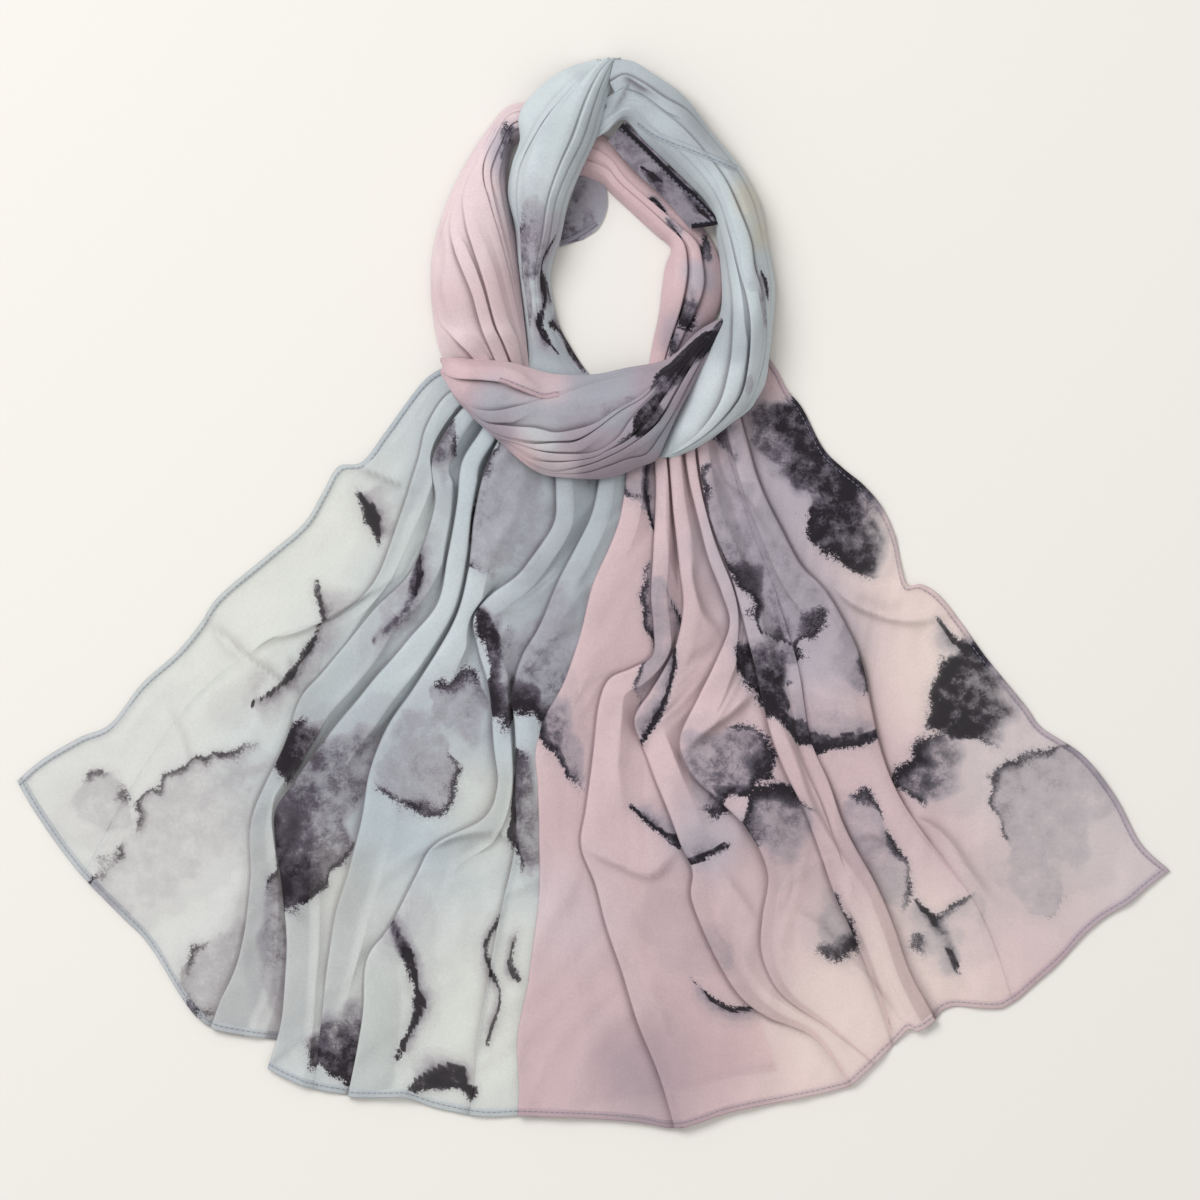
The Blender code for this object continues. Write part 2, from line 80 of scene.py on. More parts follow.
FULL_SHADE_RISE = 2.5  # rise of a fold that has its full shade
SHADE_SHARE = 0.14  # shade on the cloth just before it goes under a fold
SHADE_REACH = 4.5  # how far from the fold that shade reaches
PANEL_STEP = 6.0  # spacing of the points across the cloth between two folds
PANEL_CLOSE = 0.3  # the first of them, in spacings
SLOPE_POWER = 1.35  # how hollow the cloth lies beside a fold
CORNER_CUTS = 2  # rounds of cutting the corners of a section
FALL_STATIONS = 170  # points along an end of the scarf
HEM_WARP = 0.62  # share of the length past which the cloth is drawn to its end hem

# Strands and loose edges.
ARCH_POWER = 2.6  # how square the arch of a strand's top is
SIDE_SHARE = 0.22  # height of a strand's upright sides, as a share of its own height
SIDE_INSET = (4.0, 0.25)  # how far the cloth is turned under at the sides
SIDE_BULGE = (0.8, 0.05)
UNDERSIDE = 0.3  # height of the cloth turned under
# The last value of each row is painted shade on the cloth turned down at a strand's ends.
END_TURN = ((0.5, 0.12, 0.05), (0.9, 0.4, 0.2), (0.6, 0.8, 0.5), (0.0, 1.0, 0.8))  # out, down, shade
LEAF_STATIONS = 36
LEAF_COLUMNS = 24
LEAF_WAVE = 0.35

# Creases and wrinkles.
LEAST_Z = 0.25  # least height of the cloth above the table
TROUGH_DEPTH = 3.0
CREASE_EDGE = 1.3  # half width of a crease on its sharp side
CREASE_REACH = 3.4  # how far its shade reaches there
CREASE_FAR_REACH = 0.9  # and on its other side
STRAND_WRINKLES = 0.25  # size of the wrinkles on the strands, of those on the ends
RIDGE_HEIGHT = 1.1
# A wave's lengths across and along the cloth, its noise's seed, its height, and the length of its slant.
Wave = namedtuple("Wave", "across along seed height slant", defaults=(0,))
WRINKLES = (Wave(26, 110, 4, 1.1), Wave(11, 46, 5, 0.4))
RIDGES = (Wave(30, 120, 6, 1.0, 150), Wave(17, 70, 9, 0.5, -90))

# Ground and ink.
WASH_STRAY = 5.0  # how far noise moves the washes
WASH_WAVE = 30
GROUND_WEIGHT = 0.12  # of the ground between the washes, to 1 in the middle of a wash
NO_INK = -30.0  # depth inside the ink where there is none
NO_RIM = 0.5  # width of a rim that doesn't show
SOLID_RIM = 30.0
STROKE_WAVE = 13
STROKE_END = 0.12  # share of a stroke over which it thins out
ISLAND_STRAY = 0.10
ISLAND_WAVE = 11
ISLAND_FADE = 14.0  # how softly an island ends on the side without a rim
LOBES = 0.26
RIM_WAVE = 16
RAGGED_STRAY = 12.0  # how far noise moves the ink's edge
SPECK_STRAY = 9.0
HALO_REACH = 7.0
HALO = 0.12

# The chiffon.
Noise = namedtuple("Noise", "scale detail roughness")
NOISES = {
    "broad": Noise(0.08, 4.0, 0.6), "ragged": Noise(0.5, 6.0, 0.75), "speck": Noise(1.3, 4.0, 0.8),
    "patchy": Noise(0.13, 5.0, 0.6), "grain": Noise(0.8, 2.0, 0.5), "weave": Noise(2.2, 2.0, 0.5),
}
CHIFFON_SHADER = {"Roughness": 0.86, "Specular IOR Level": 0.18, "Sheen Weight": 0.12, "Sheen Roughness": 0.5}
SHADED_TINT = (0.84, 0.84, 0.87)
GRAIN_TINT = (0.70, 0.70, 0.72)
# Painted shade in folds, creases and turned-under cloth.
PAINTED_SHADE_TINT = (0.33, 0.28, 0.30)
HEM_TINT = (0.79, 0.80, 0.83)
# Darker hem edge, and painted shade in the stitch groove and holes.
HEM_EDGE_AND_STITCH_SHADE_TINT = (0.34, 0.34, 0.37)
WEAVE_STRENGTH = 0.35
WEAVE_HEIGHT = 0.0002
GLOW_SHARE = 0.16  # light that passes through the cloth
INK_COVER = 0.7  # how much thick ink hides of what lies behind
HEM_COVER = 0.82  # three layers hide more of what lies behind

# Looks that aren't one number at each point.
LOOK_KINDS = {"ground": ("FLOAT_COLOR", "color"), "hem_place": ("FLOAT_VECTOR", "vector")}

# Hems. A border is an index into a grid, and the index of the points further in that give its direction.
SIDE_HEM = 3.4
END_HEM = 4.6
BORDERS = {
    "first": ((slice(None), 0), (slice(None), 3)), "last": ((slice(None), -1), (slice(None), -4)),
    "end": (-1, -4),
}
STITCH_PITCH = 3.2  # from one stitch of a hem to the next
STITCH_SHARE = 0.62  # of the pitch, the stitch
STITCH_PLACE = 2.6  # from the edge of the cloth
STITCH_WIDTH = 0.3
SEAM_STEP = 1.2
# A point of a hem's section: offset and lift in millimetres, share and place of the hem's width.
HemRow = namedtuple("HemRow", "offset share lift place")
HEM_SECTION = (
    HemRow(0.35, 0.0, -0.15, 0.0), HemRow(-0.15, 0.0, 0.2, 0.0), HemRow(0.1, 0.0, 0.32, 0.1),
    HemRow(0.0, 0.3, 0.47, 0.3), HemRow(0.0, 0.7, 0.44, 0.7), HemRow(0.0, 0.95, 0.32, 0.95),
    HemRow(0.0, 1.0, 0.05, 1.0),
)
SEAM_SECTION = (  # share of the width, lift
    (-0.04, 0.05), (0.0, 0.3), (0.08, 0.5), (0.3, 0.55), (0.55, 0.45), (0.8, 0.5), (0.96, 0.3), (1.0, 0.05))

# Floor, light and camera, in metres.
FLOOR = 6
FLOOR_COLOUR = (0.83, 0.806, 0.768, 1)
SKY_COLOUR = (1, 0.99, 0.97, 1)
SKY_STRENGTH = 0.63
KEY_SIZE = 2.2
KEY_ENERGY = 108
KEY_PLACE = (-2.0, 1.9, 3.1)
SENSOR = 36
VIEW_WIDTH = 0.696
VIEW_MIDDLE = (0.0038, -0.0041)
CAMERA_HEIGHT = 8.0


def named(kind, tables):
    """Tables of plain rows, with their columns named."""
    return {name: tuple(kind(*row) for row in rows) for name, rows in tables.items()}


# ---------------------------------------------------------------- tables: the folded sheets

# A line runs from one end of a stretch to the other, and rise and overlap are spread evenly along it.
# lead: how much further the top layer reaches along than the tucked one at the end.
# lift: how many layers lie underneath, from the start of the line to its end.
Fold = namedtuple("Fold", "name faces rise overlap lead lift line")
ON_TABLE = (0, 0)
ON_TWO = (2, 2)

# The two ends. end_hems: the line of the end hem, for the cloth from one fold's top layer to another's.
# borders: the sides of the sheet that have a hem, and its width.
Fall = namedtuple("Fall", "first_edge folds last_edge end_hems borders")
FALLS = {
    "left_fall": Fall(
        first_edge=(
            (-80, 131), (-88, 130), (-100, 121), (-120, 94), (-134, 76), (-148, 73), (-157, 58), (-168, 40),
            (-190, 21), (-217, -2), (-228, -18), (-242, -35), (-262, -53), (-280, -76), (-298, -84),
            (-320, -97), (-334, -109)),
        folds=(
            Fold("first", TO_LEFT, (8.5, 6, 3, 0.1, 0.1, 0.1, 0.1), (4, 7, 3, 0.05, 0.05, 0.05, 0.05),
                0, ON_TABLE, (
                (-71.5, 119.5), (-85, 114), (-97, 96), (-102, 76), (-112, 48), (-126, 8), (-150, -14),
                (-187, -27), (-230, -60), (-268, -112), (-296, -163))),
            Fold("second", TO_LEFT, (10.5, 7, 6.5, 4, 2), (4, 9, 16, 18, 20), 2, ON_TABLE, (
                (-62.5, 115.5), (-77, 105), (-89, 88), (-94, 72), (-92, 50), (-105, 14), (-128, -11),
                (-156, -45), (-170, -62), (-181, -92), (-199, -134), (-199, -170), (-206, -212), (-217, -238),
                (-222, -253))),
            Fold("third", TO_LEFT, (10.5, 7.5, 7, 5, 2.5), (4, 7, 13, 24, 26), 16, ON_TABLE, (
                (-53.5, 112), (-66, 93), (-76, 76), (-79, 52), (-84, 25), (-90, -5), (-108, -27), (-130, -54),
                (-146, -72), (-160, -92), (-172, -108), (-184, -124), (-185, -140), (-180, -170),
                (-178, -210), (-181, -245), (-189, -275))),
            Fold("fourth", TO_LEFT, (10.5, 7.5, 6.5, 3.5, 0.8), (4, 6, 14, 14, 2), 0, ON_TABLE, (
                (-44, 110), (-55, 88), (-63, 70), (-69, 45), (-72, 15), (-79, -12), (-91, -35), (-105, -56),
                (-120, -78), (-130, -104), (-136, -136), (-142, -162), (-150, -186), (-154, -215),
                (-158, -250), (-162, -286))),
            Fold("fifth", TO_LEFT, (10, 7, 6, 4.5, 2.5), (4, 6, 8, 16, 24), 6, ON_TABLE, (
                (-24, 109), (-23, 85), (-22, 58), (-24, 38), (-42, 14), (-58, 0), (-69, -14), (-67, -34),
                (-60, -58), (-58, -90), (-56, -112), (-64, -131), (-92, -146), (-103, -165), (-120, -195),
                (-131, -213), (-134, -245), (-142, -292))),
            Fold("sixth", TO_LEFT, (9.5, 7, 5, 2, 1), (3, 6, 4, 2, 1), 0, ON_TABLE, (
                (4, 108), (4, 80), (1, 50), (-10, 27), (-22, 4), (-32, -20), (-42, -38), (-47, -58),
                (-46, -80), (-45, -110), (-46, -150), (-54, -190), (-64, -240), (-72, -302))),
        ),
        last_edge=(
            (22, 108), (25, 80), (25, 60), (20, 40), (12, 15), (4, -8), (-4, -35), (-12, -60), (-21, -84),
            (-26, -110), (-25, -150), (-28, -200), (-34, -250), (-37, -302)),
        end_hems=(
            ("start", "third", (
                (-334, -109), (-330, -117), (-320, -133), (-310, -147), (-300, -160), (-290, -171),
                (-280, -181), (-270, -191), (-260, -200), (-250, -215), (-243, -228), (-237, -238),
                (-230, -247), (-220, -253), (-208, -256), (-195, -257.5), (-183, -259), (-160, -261))),
            ("third", "fifth", (
                (-190, -275), (-180, -281), (-168, -286), (-155, -289), (-142, -291), (-110, -286))),
            ("fifth", "end", (
                (-142, -292), (-130, -293), (-118, -293), (-110, -292), (-104, -294), (-98, -297),
                (-90, -299), (-80, -301), (-70, -303), (-60, -304), (-43, -303), (-30, -302))),
        ),
        borders=(("first", SIDE_HEM), ("end", END_HEM))),
    "right_fall": Fall(
        first_edge=(
            (38, 110), (42, 75), (44, 45), (46, 10), (50, -40), (56, -90), (66, -150), (84, -212),
            (106, -277)),
        folds=(
            Fold("edge", EDGE_TURN, (8.5, 5.5, 5.5, 4, 2.5), (6, 6, 6, 6, 6), 0, ON_TABLE, (
                (14, 109), (18, 88), (19, 66), (15, 45), (8, 25), (0, 5), (-6, -20), (-13, -40), (-19, -55),
                (-28, -73), (-34, -93), (-32, -112), (-31, -135), (-32, -175), (-37, -215), (-43, -260),
                (-44, -303))),
            Fold("first", TO_LEFT, (9, 6.5, 6.5, 4, 1.6), (3, 4, 10, 12, 6), 2, ON_TWO, (
                (30, 109), (35, 80), (36, 52), (35, 25), (33, 0), (35, -20), (34, -36), (22, -43), (9, -50),
                (3, -65), (0, -88), (-4, -125), (-7, -147), (1, -170), (11, -203), (24, -242), (37, -276),
                (47, -308))),
            Fold("second", TO_LEFT, (10.5, 7, 6.5, 4, 0.6), (3, 4, 10, 9, 1.2), 0, (2, 2, 2, 2, 1), (
                (40, 109), (44, 78), (46, 48), (50, 15), (52, -8), (47, -32), (33, -56), (23, -74), (32, -98),
                (41, -122), (50, -144), (58, -161), (57, -178), (68, -206), (84, -232), (102, -246),
                (128, -257), (150, -284))),
            Fold("third", TO_LEFT, (10.5, 7, 6.5, 4, 0.6), (3, 5, 10, 7, 1.2), 0, (2, 2, 2, 2, 1), (
                (50, 109), (54, 75), (59, 50), (66, 22), (74, 0), (79, -18), (72, -38), (60, -62), (50, -86),
                (57, -106), (72, -120), (90, -138), (100, -162), (98, -188), (98, -212), (110, -234),
                (136, -252), (163, -273))),
            Fold("fourth", TO_LEFT, (9.5, 6, 6, 4, 1), (3, 5, 6, 5, 1.5), 0, (2, 2, 2, 1, 0), (
                (58, 110), (61, 76), (68, 42), (81, 6), (91, -32), (98, -62), (103, -82), (112, -104),
                (123, -126), (132, -152), (140, -177), (151, -200), (163, -228), (174, -262))),
            Fold("fifth", TO_RIGHT, (0.3, 0.3, 1.6, 4.5, 3), (0.2, 0.2, 2, 6, 7), -4, ON_TABLE, (
                (72, 111), (79, 78), (90, 42), (104, 4), (116, -34), (122, -66), (128, -92), (138, -116),
                (150, -142), (164, -168), (174, -190), (183, -214), (198, -242))),
            Fold("sixth", TO_RIGHT, (9.5, 7, 7, 6, 2.4, 0.1, 0.1), (4, 10, 13, 9, 3, 0.05, 0.05),
                0, ON_TABLE, (
                (82.5, 113), (89, 88), (97, 62), (118, 20), (134, 2), (148, -22), (156, -42), (161, -66),
                (169, -96), (178, -118), (190, -138), (206, -160), (222, -182), (234, -210), (243, -239))),
        ),
        last_edge=(
            (92, 128), (100, 136), (106, 130), (112, 118), (121, 107), (133, 84), (145, 72), (156, 63),
            (167, 50), (175, 32), (181, 6), (190, 5), (200, -1), (213, -17), (228, -38), (250, -65),
            (260, -78), (284, -94), (303, -118), (317, -144), (334, -160)),
        end_hems=(
            ("start", "edge", (
                (-40, -303), (-3, -296), (20, -292), (47, -289), (80, -280), (106, -276), (120, -270))),
            ("edge", "end", (
                (-44, -303), (-15, -304), (8, -305), (29, -307), (42, -310), (52, -310), (62, -307),
                (75, -302), (88, -299), (114, -294), (134, -290), (149, -286), (160, -276), (172, -264),
                (183, -252), (189, -255), (198, -248), (203, -240), (211, -239), (225, -241), (237, -241),
                (247, -235), (259, -224), (272, -213), (285, -197), (298, -187), (311, -180), (323, -169),
                (334, -161))),
        ),
        borders=(("last", SIDE_HEM), ("end", END_HEM))),
}

# A strand's outline, its pleats, and the heights of its underside and crown along it. All lines run down
# the strand, in front_band from right to left.
Strand = namedtuple("Strand", "first_edge pleats last_edge under crown stations")
Pleat = namedtuple("Pleat", "faces rise overlap line")
STRANDS = {
    "outer_left_strand": Strand(
        first_edge=(
            (-12, 281), (-36, 284), (-50, 281.5), (-63, 266), (-76, 245), (-86, 223), (-93, 198), (-94, 176),
            (-92, 155), (-89, 141), (-85, 131)),
        pleats=(
            Pleat(TO_LEFT, (0, 0, 0, 0.6, 5), (0, 0, 0, 1, 4), (
                (-12, 280), (-36, 283), (-50, 280.6), (-61.5, 265.5), (-74.5, 244.5), (-84, 222.5),
                (-90.5, 198), (-91.5, 176), (-89, 158), (-84, 151), (-78, 144), (-71, 137), (-64, 128))),
            Pleat(TO_LEFT, (0, 0, 1, 4.5, 6), (0, 0, 1, 4, 5), (
                (-12, 279), (-36, 282), (-49.6, 279.6), (-60.3, 265), (-72.5, 244), (-80, 228), (-83, 212),
                (-80, 198), (-75, 185), (-70, 172), (-67, 160), (-64, 150), (-60, 141), (-54, 128))),
            Pleat(TO_LEFT, (0, 0, 2, 4.5, 6), (0, 0, 2, 4, 5), (
                (-12, 278), (-36, 281), (-49.3, 278.6), (-59, 264.5), (-69.5, 246), (-75.5, 230), (-74, 213),
                (-70, 200), (-66, 188), (-62, 175), (-59, 163), (-56, 153), (-52, 145), (-49, 138),
                (-45, 128))),
            Pleat(TO_RIGHT, (2, 4, 5, 4, 2), (1, 2, 4, 3, 1), (
                (-12, 276.5), (-35, 279), (-48.8, 277.4), (-57, 264), (-63.2, 251), (-64, 240), (-61, 228),
                (-55, 208), (-50, 190), (-46, 172), (-42.5, 155), (-40.5, 142), (-39, 128))),
            Pleat(TO_RIGHT, (2, 4, 4, 3, 1), (1, 2, 2, 2, 1), (
                (-12, 272), (-34, 274), (-47, 272), (-54, 260), (-59, 247), (-59.5, 240), (-57.5, 228),
                (-52.5, 208), (-48, 190), (-44.5, 172), (-41.6, 155), (-40, 142), (-38.5, 128))),
            Pleat(TO_RIGHT, (2, 4, 3, 2, 1), (1, 2, 2, 1, 1), (
                (-12, 268), (-34, 270), (-45.8, 268), (-51, 256), (-54, 246), (-54.3, 238), (-52.5, 226),
                (-49.5, 212), (-46.4, 192), (-43.4, 172), (-40.8, 152), (-39.2, 141), (-37.8, 128))),
        ),
        last_edge=(
            (-12, 260), (-34, 263), (-44.5, 261), (-49, 250), (-49.6, 234), (-46, 214), (-44, 192),
            (-41.8, 172), (-39.4, 150), (-38.2, 138), (-37, 128)),
        under=(0, 0, 0, 0, 0), crown=(9, 9, 12, 19, 23, 24, 23, 19, 7), stations=90),
    "inner_right_strand": Strand(
        first_edge=(
            (-11.6, 243), (4, 238), (11, 231), (24, 219), (36, 208), (45, 200), (42, 190), (40, 177),
            (38, 161), (35, 147), (32.5, 134), (28, 113.5)),
        pleats=(
            Pleat(TO_RIGHT, (1, 2, 4, 4, 2), (1, 2, 3, 3, 1), (
                (-11.6, 253), (7, 246), (15.5, 237), (29, 225), (42, 213), (52, 203), (54.5, 190),
                (53.5, 178), (50, 163), (45, 148), (41, 134), (38, 113.5))),
            Pleat(TO_RIGHT, (1, 2, 3.5, 4, 2), (1, 2, 2, 3, 1), (
                (-11.6, 262), (8, 253), (19, 240), (33, 227), (49, 213.5), (60, 203), (63.5, 190), (64, 178),
                (59.5, 164), (52, 149), (47, 134), (46, 113.5))),
        ),
        last_edge=(
            (-11.6, 276), (10, 262), (26, 245), (43, 231), (59.5, 216), (70, 201), (75, 184), (74, 168),
            (66, 151), (58, 134), (64, 113.5)),
        under=(0, 0, 0, 0, 0), crown=(9, 9, 9, 9.5, 12, 14, 11, 7, 6), stations=80),
    "inner_left_strand": Strand(
        first_edge=(
            (0, 309), (-17, 303), (-35, 289), (-43, 276), (-42.5, 262), (-47, 248), (-49.5, 231),
            (-45.5, 212), (-43.5, 190), (-40.5, 166), (-38.4, 149), (-37.6, 139), (-37, 130), (-34, 112.5)),
        pleats=(
            Pleat(TO_LEFT, (0.5, 2.5, 3, 1, 0), (0.5, 2, 2, 1, 0), (
                (1.5, 308.8), (-6, 302), (-17, 292), (-30, 276), (-38, 262), (-44, 251), (-47.3, 240),
                (-47.5, 226), (-44, 210), (-42.6, 190), (-39.6, 166), (-37.6, 149), (-36.7, 139), (-36, 130),
                (-33, 112.5))),
            Pleat(TO_LEFT, (0.5, 3, 4, 3, 0), (0.5, 2, 3, 2, 0), (
                (3.5, 308.8), (-3, 302.5), (-13, 291.5), (-25.5, 276.5), (-33, 265), (-39.5, 252.5),
                (-43.4, 240), (-44.2, 226), (-42.4, 210), (-41.4, 190), (-38.4, 166), (-36.4, 149),
                (-35.4, 139), (-34.5, 130), (-31, 112.5))),
            Pleat(TO_RIGHT, (1.5, 3, 2, 0.6, 0.3), (1, 1.5, 1, 0.3, 0.2), (
                (9.5, 308.9), (4, 303), (-3, 290), (-8.5, 277), (-14, 262), (-21, 245), (-27, 227),
                (-30.5, 206), (-34, 184), (-32, 158), (-24, 142), (-18, 132.5), (-12, 124), (-9, 112.5))),
            Pleat(TO_RIGHT, (2, 4, 2.4, 0.5, 0.2), (1, 2, 1, 0.3, 0.1), (
                (12, 309), (8, 303), (2.5, 290), (-2, 277), (-7, 262), (-15, 245), (-22, 227), (-26, 206),
                (-31, 184), (-28, 158), (-20, 142), (-14, 132.5), (-8, 124), (-5, 112.5))),
            Pleat(TO_RIGHT, (3, 4, 3.2, 1, 0.4), (2, 2, 1.6, 0.5, 0), (
                (14, 309), (11, 303), (6.5, 290), (2.5, 277), (-2, 262), (-10, 245), (-17.5, 227), (-22, 206),
                (-28, 184), (-24, 158), (-16, 142), (-10.5, 132.5), (-4, 124), (-1, 112.5))),
        ),
        last_edge=(
            (15.6, 309.5), (13, 303), (9, 290), (5.2, 277), (0.8, 262), (-7, 245), (-14.5, 227), (-19, 206),
            (-25, 184), (-21, 158), (-13, 142), (-7, 132.5), (-1, 124), (2, 112.5)),
        under=(1, 8, 11, 11, 5, 0, 0, 0, 0), crown=(8, 26, 32, 32, 30, 25, 21, 17, 12, 7, 6), stations=110),
    "outer_right_strand": Strand(
        first_edge=(
            (-1, 262), (8, 267.5), (17.8, 274.2), (29, 262.5), (40.5, 251), (53, 238.5), (66, 223.5),
            (71.5, 205), (74.2, 184), (73.8, 163), (66.1, 145), (57.1, 124), (49, 105), (42.2, 89),
            (37.9, 79)),
        pleats=(
            Pleat(TO_LEFT, (0, 1, 3, 5, 2), (0, 1, 3, 4, 1), (
                (1, 266), (9, 272), (19, 277), (31, 266), (43, 254), (56, 241), (68, 226), (74.5, 206),
                (78.5, 186), (80.5, 168), (80, 150), (79, 132), (74, 112), (62, 94), (50, 84), (40, 79))),
            Pleat(TO_LEFT, (0, 1, 4, 5, 2), (0, 1, 4, 4, 1), (
                (3, 272), (11, 278), (21, 282), (33, 271), (46, 259), (60, 245.5), (72, 229), (79, 208),
                (84, 188), (89, 170), (91, 152), (90, 132), (85, 113), (71, 96), (55, 84.5), (42, 79))),
            Pleat(TO_RIGHT, (0, 2, 6, 4, 0.5), (0, 1, 5, 3, 1), (
                (7, 285), (15, 289), (26, 288), (39, 279), (52, 268), (66, 253), (77, 238), (85, 219),
                (91, 203), (93.5, 188), (97, 176), (100, 160), (100, 145), (97, 128), (90, 110), (77, 96.5),
                (60, 85.5), (44, 79))),
            Pleat(TO_RIGHT, (4, 6, 3, 1, 0), (3, 4, 2, 1, 0), (
                (10, 296), (18, 300), (28, 295.5), (41, 286.5), (54, 279), (66, 266), (81, 247), (92, 226),
                (98, 202), (102, 180), (101.8, 160), (100.8, 142), (98, 124), (92, 108), (80, 98.5), (62, 86),
                (45, 78.6))),
        ),
        last_edge=(
            (13, 308.5), (22, 308), (33, 301.5), (52, 288), (68, 267), (84, 248), (96, 226), (101, 201),
            (105, 178), (104, 158), (102, 140), (98, 118), (83, 101), (63, 86), (46, 78)),
        under=(11, 10, 6, 1, 0, 2, 8, 9, 9), crown=(12.5, 25, 29, 28, 27, 26, 26, 27, 27, 23, 12),
        stations=120),
    "front_band": Strand(
        first_edge=(
            (75, 160), (60, 151), (48, 139), (38, 133.6), (20, 130.4), (0, 126.4), (-22, 126.6), (-36, 130),
            (-48, 133.4), (-63, 135), (-79, 136), (-88, 136)),
        pleats=(
            Pleat(TO_RIGHT, (0, 0, 0.5, 4, 3), (0, 0, 1, 4, 3), (
                (75.2, 159), (60.5, 149.8), (48.5, 137.6), (40.4, 132), (20, 128.6), (0, 123.6), (-18, 117),
                (-30, 113.2), (-44, 117.6), (-52, 121.5), (-64, 123.4), (-80, 124.4), (-88, 128))),
            Pleat(TO_LEFT, (0, 0, 4, 3, 0.5), (0, 0, 4, 4, 1), (
                (75.4, 158), (61, 148.6), (49, 136), (41, 130.4), (20, 126.6), (0, 121.4), (-18, 115),
                (-31, 111.4), (-44, 107.6), (-59, 105.6), (-72, 108), (-81, 116), (-88, 127))),
            Pleat(TO_LEFT, (2, 4, 5, 4, 1), (1, 2, 4, 4, 1), (
                (75.6, 157), (61.5, 147.4), (50, 134.6), (41.5, 127.5), (28, 114.5), (15, 107), (2, 98.4),
                (-10, 94.6), (-22, 92.8), (-34, 95.4), (-50, 96.6), (-63, 98.6), (-71, 106), (-79.5, 115),
                (-87, 126.4))),
            Pleat(TO_LEFT, (0, 1, 4, 4, 1), (0, 1, 3, 3, 1), (
                (75.8, 156.4), (62, 146.6), (50.6, 133.6), (42, 126), (28.6, 112.6), (15.4, 104.5),
                (-1, 92.4), (-11, 87.2), (-22, 86.6), (-34, 86), (-45, 87.6), (-57, 91), (-66, 99),
                (-75, 108.6), (-86.6, 125.8))),
            Pleat(TO_LEFT, (2, 4, 4, 3, 1), (1, 2, 3, 2, 1), (
                (76, 155.6), (62.6, 145.4), (51.4, 132.4), (41, 119.6), (30, 109), (22, 100), (14, 89.4),
                (1, 81.6), (-15, 80.4), (-29, 81.4), (-41, 85.4), (-52, 89.4), (-62, 96.8), (-70, 104),
                (-78, 113.4), (-86.4, 125.4))),
            Pleat(TO_LEFT, (2, 4, 4, 3, 1), (1, 2, 3, 2, 1), (
                (76.2, 154.8), (63.4, 144), (52.4, 131), (42.6, 116), (32, 99.6), (20, 88.4), (8, 82),
                (-2, 77.4), (-22, 75.4), (-39, 78.6), (-52, 88.6), (-62, 96.2), (-70, 103.4), (-78, 112.8),
                (-86.2, 125))),
            Pleat(TO_LEFT, (2, 4, 4, 2, 1), (1, 2, 2, 1, 1), (
                (76.4, 154), (64.4, 142), (55, 128), (47, 114), (36, 97), (20, 84.4), (2, 75.4), (-16, 70.8),
                (-27, 70.8), (-40, 77.4), (-53, 88.2), (-63, 96), (-70.4, 103), (-78, 112.2),
                (-86.1, 124.6))),
            Pleat(TO_LEFT, (2, 3, 3, 1, 1), (1, 2, 2, 1, 1), (
                (76.7, 152.6), (66, 139), (57.4, 124), (48, 106), (39, 91), (31, 80.4), (20, 77.4), (8, 73),
                (-4, 69.6), (-16, 68.8), (-27, 69.8), (-40, 76.6), (-53, 87.8), (-63, 95.6), (-70.4, 102.6),
                (-78, 111.8), (-86, 124.4))),
        ),
        last_edge=(
            (77, 151), (67.5, 136.5), (58.6, 120.5), (49.5, 104), (42, 88), (36.5, 77.5), (27, 73.2),
            (12, 67.4), (0, 66), (-18, 67), (-30, 69), (-41, 75.6), (-54, 87.2), (-66, 98.4), (-79, 111.6),
            (-86, 124)),
        under=(9, 9, 9, 9, 9), crown=(15, 22, 28, 31, 32, 32, 31, 29, 24, 14), stations=120),
}

# Loose edges that show at the neck hole: rows from one end to the other, and the height of each row.
Leaf = namedtuple("Leaf", "left_x left_y right_x right_y height")
LEAVES = named(Leaf, {
    "top_lappet": (
        (-19.5, 200.5, -6, 205, 0.5), (-18.4, 207, 3, 212, 0.6), (-16.6, 216, 8, 224, 0.8),
        (-13, 228, 7, 236, 1.6), (-8, 241, 4, 247, 2.6)),
    "turned_edge": (
        (8.6, 261.6, 18, 273.4, 12.4), (23.5, 244.6, 35, 256.4, 12.9), (41, 228.5, 52.5, 239, 13.2),
        (56, 210.6, 75, 213.6, 13.4)),
})

# Stretches of the panel's own hem that show on the strands: the cloth's edge is on the left of each line.
Seam = namedtuple("Seam", "width colour lines")
SEAMS = {
    "outer_right_strand": Seam(4.2, "ice", (
        ((83.5, 247.5), (75, 251), (58, 258), (38, 266), (27, 274)),)),
    "front_band": Seam(3.4, "rose", (
        ((-55, 121.6), (-49, 119.6), (-43, 117.2), (-36, 114.4), (-29, 112.2), (-20, 113.6)),)),
    "top_lappet": Seam(2.6, "wash", (((-18.8, 202), (-12, 204.2), (-4, 208.8), (2.6, 213.4)),)),
    "turned_edge": Seam(3.0, "charcoal", (
        ((74, 216), (61, 230), (51.6, 237.6), (34.4, 254.8), (17, 271.4)),
        ((56.8, 211.2), (66, 212.2), (74.6, 214.2)))),
}
